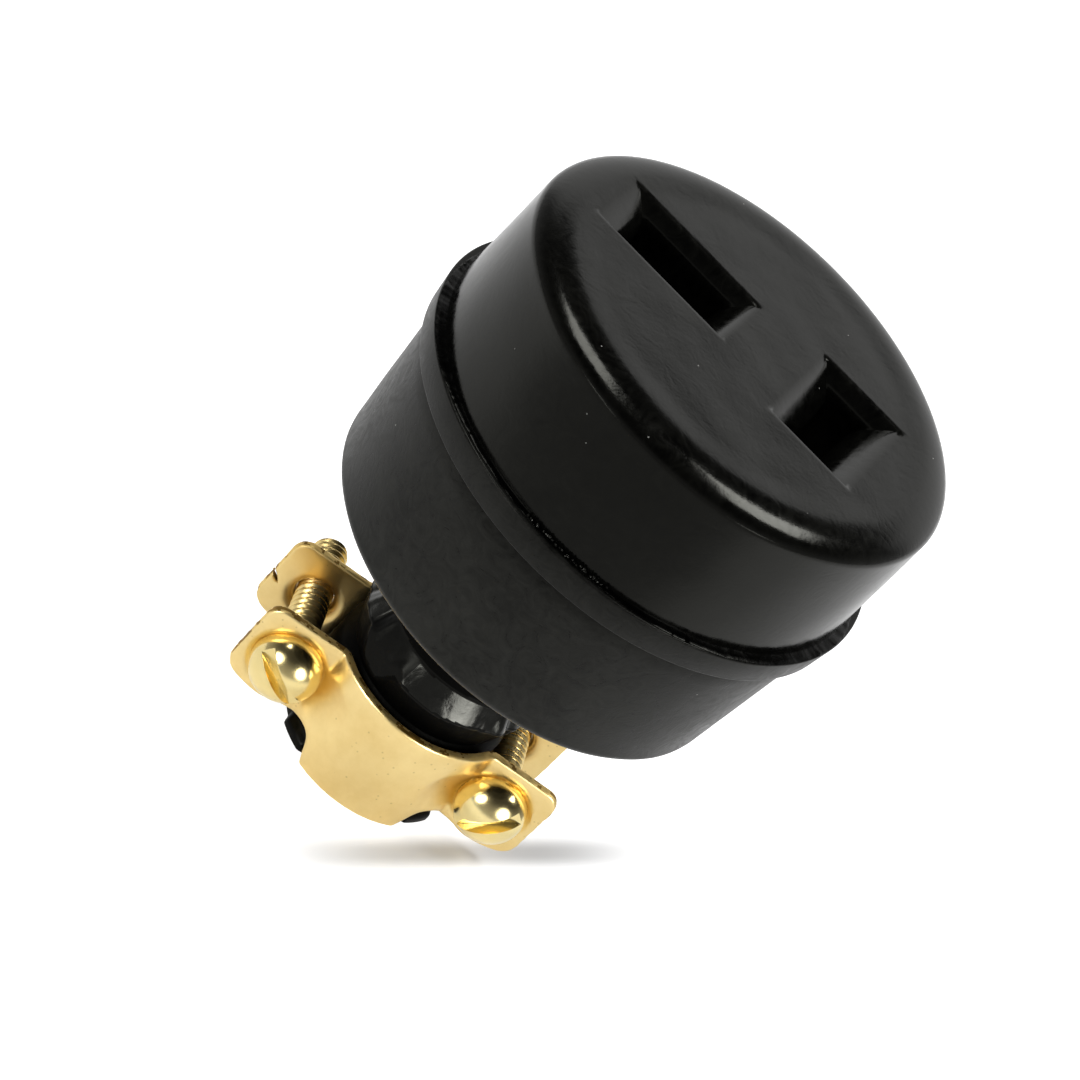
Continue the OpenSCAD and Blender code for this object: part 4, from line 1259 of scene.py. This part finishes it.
def thread_points():
    """Points and faces of the threaded shank, closed by a disc at each end."""
    rows = int(SCREW_L / PITCH * PITCH_STEPS)
    points = [(0, 0, 0.0)]
    for i in range(rows + 1):
        z = SCREW_L * i / rows
        lead = THREAD_DEEP * smooth_step(z, *THREAD_LEAD)
        tip = SCREW_R - TIP_CUT * smooth_step(z, SCREW_L - TIP_LONG, SCREW_L)
        for j in range(TURN_STEPS):
            a = 2 * math.pi * j / TURN_STEPS
            phase = (z / PITCH - j / TURN_STEPS) % 1.0
            r = min(SCREW_R - lead * max(0.0, 1 - abs(phase - 0.5) / THREAD_HALF), tip)
            points.append((r * math.cos(a), r * math.sin(a), z))
    points.append((0, 0, SCREW_L))
    faces = []
    for i in range(rows):
        for j in range(TURN_STEPS):
            k = (j + 1) % TURN_STEPS
            low, high = 1 + i * TURN_STEPS, 1 + (i + 1) * TURN_STEPS
            faces.append([low + j, low + k, high + k, high + j])
    last = 1 + rows * TURN_STEPS
    for j in range(TURN_STEPS):
        k = (j + 1) % TURN_STEPS
        faces.append([0, 1 + k, 1 + j])
        faces.append([len(points) - 1, last + j, last + k])
    return points, faces


def clamp_screw(name, side, slot_turn, node):
    """Places a screw: its axis runs across the clamp, from its head to its tip."""
    shape = Shape()
    for (points, faces), paint in ((slotted_head(slot_turn), 0), (thread_points(), 1)):
        placed = []
        for x, y, z in points:
            spot = ALONG * (side * EYE_ALONG + x) + ACROSS * (z - HEAD_SEAT) + Vector((0, 0, EYE_H - y))
            placed.append(tuple(spot))
        shape.add(placed, faces, paint)
    build(name, shape, [head_brass, thread_brass], node, fold=36)


clamp_screw("left_round_head_screw", -1, 32, "clamp_screw_left")
clamp_screw("right_round_head_screw", 1, -44, "clamp_screw_right")

# %% [markdown]
# ## Inside
#
# The pieces inside keep their CAD shapes, and only a look down a slot or up the bore meets them. They
# still get the finish of the real thing: brown phenolic moulding, red-brown fibre board, brass contacts
# and inserts, blue-grey spring steel and bright plated washers.

# %% Paint the inside pieces
def plain_finish(name, one, two, roughness, size, metallic=0.0):
    """A finish whose colour and roughness drift over size millimetres."""
    made, tree = start_material(name)
    place = add_node(tree, "TexCoord", out="Object")
    drift = add_node(tree, "TexNoise", {"Vector": place, "Scale": per_mm(size), "Detail": 4})
    colour = add_node(tree, "Mix", {0: drift, 6: linear(one), 7: linear(two)}, **TINT)
    sheen = add_node(tree, "MapRange", (drift, *HANDLED, *roughness))
    bump = add_node(
        tree, "Bump", {"Height": drift, "Strength": PLAIN_RELIEF, "Distance": BRASS_DEEP * MM}
    )
    body = add_node(
        tree, "BsdfPrincipled",
        {"Base Color": colour, "Metallic": metallic, "Roughness": sheen, "Normal": bump},
    )
    add_node(tree, "OutputMaterial", (body,))
    return made


PLAIN_RELIEF = 0.15
phenolic = plain_finish("moulded_phenolic", "4A2A1C", "5A3524", (0.28, 0.40), 1.2)
fibre = plain_finish("vulcanised_fibre", "7A4630", "94583E", (0.50, 0.65), 0.6)
contact_brass = plain_finish("folded_contact_brass", "E8CF8C", "D4AE5C", (0.22, 0.34), 2.0, 1.0)
spring_steel = plain_finish("tempered_spring_steel", "8A8C92", "A2A3A6", (0.25, 0.36), 1.5, 1.0)
zinc = plain_finish("plated_washer_steel", "B4B6B8", "C8C9C8", (0.26, 0.38), 0.8, 1.0)
INSIDE = {
    "contact_carrier": phenolic, "carrier_cover": fibre,
    "straight_contact": contact_brass, "crossed_contact": contact_brass,
    "straight_spring": spring_steel, "crossed_spring": spring_steel,
    "straight_terminal_screw": contact_brass, "crossed_terminal_screw": contact_brass,
    "straight_saddle_washer": zinc, "crossed_saddle_washer": zinc,
    "cover_screw_near": zinc, "cover_screw_far": zinc,
    "cover_insert_near": contact_brass, "cover_insert_far": contact_brass,
}
for node_name, finish in INSIDE.items():
    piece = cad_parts[node_name]
    for holder in piece.material_slots:
        holder.material = finish
print("inside pieces painted:", len(INSIDE))
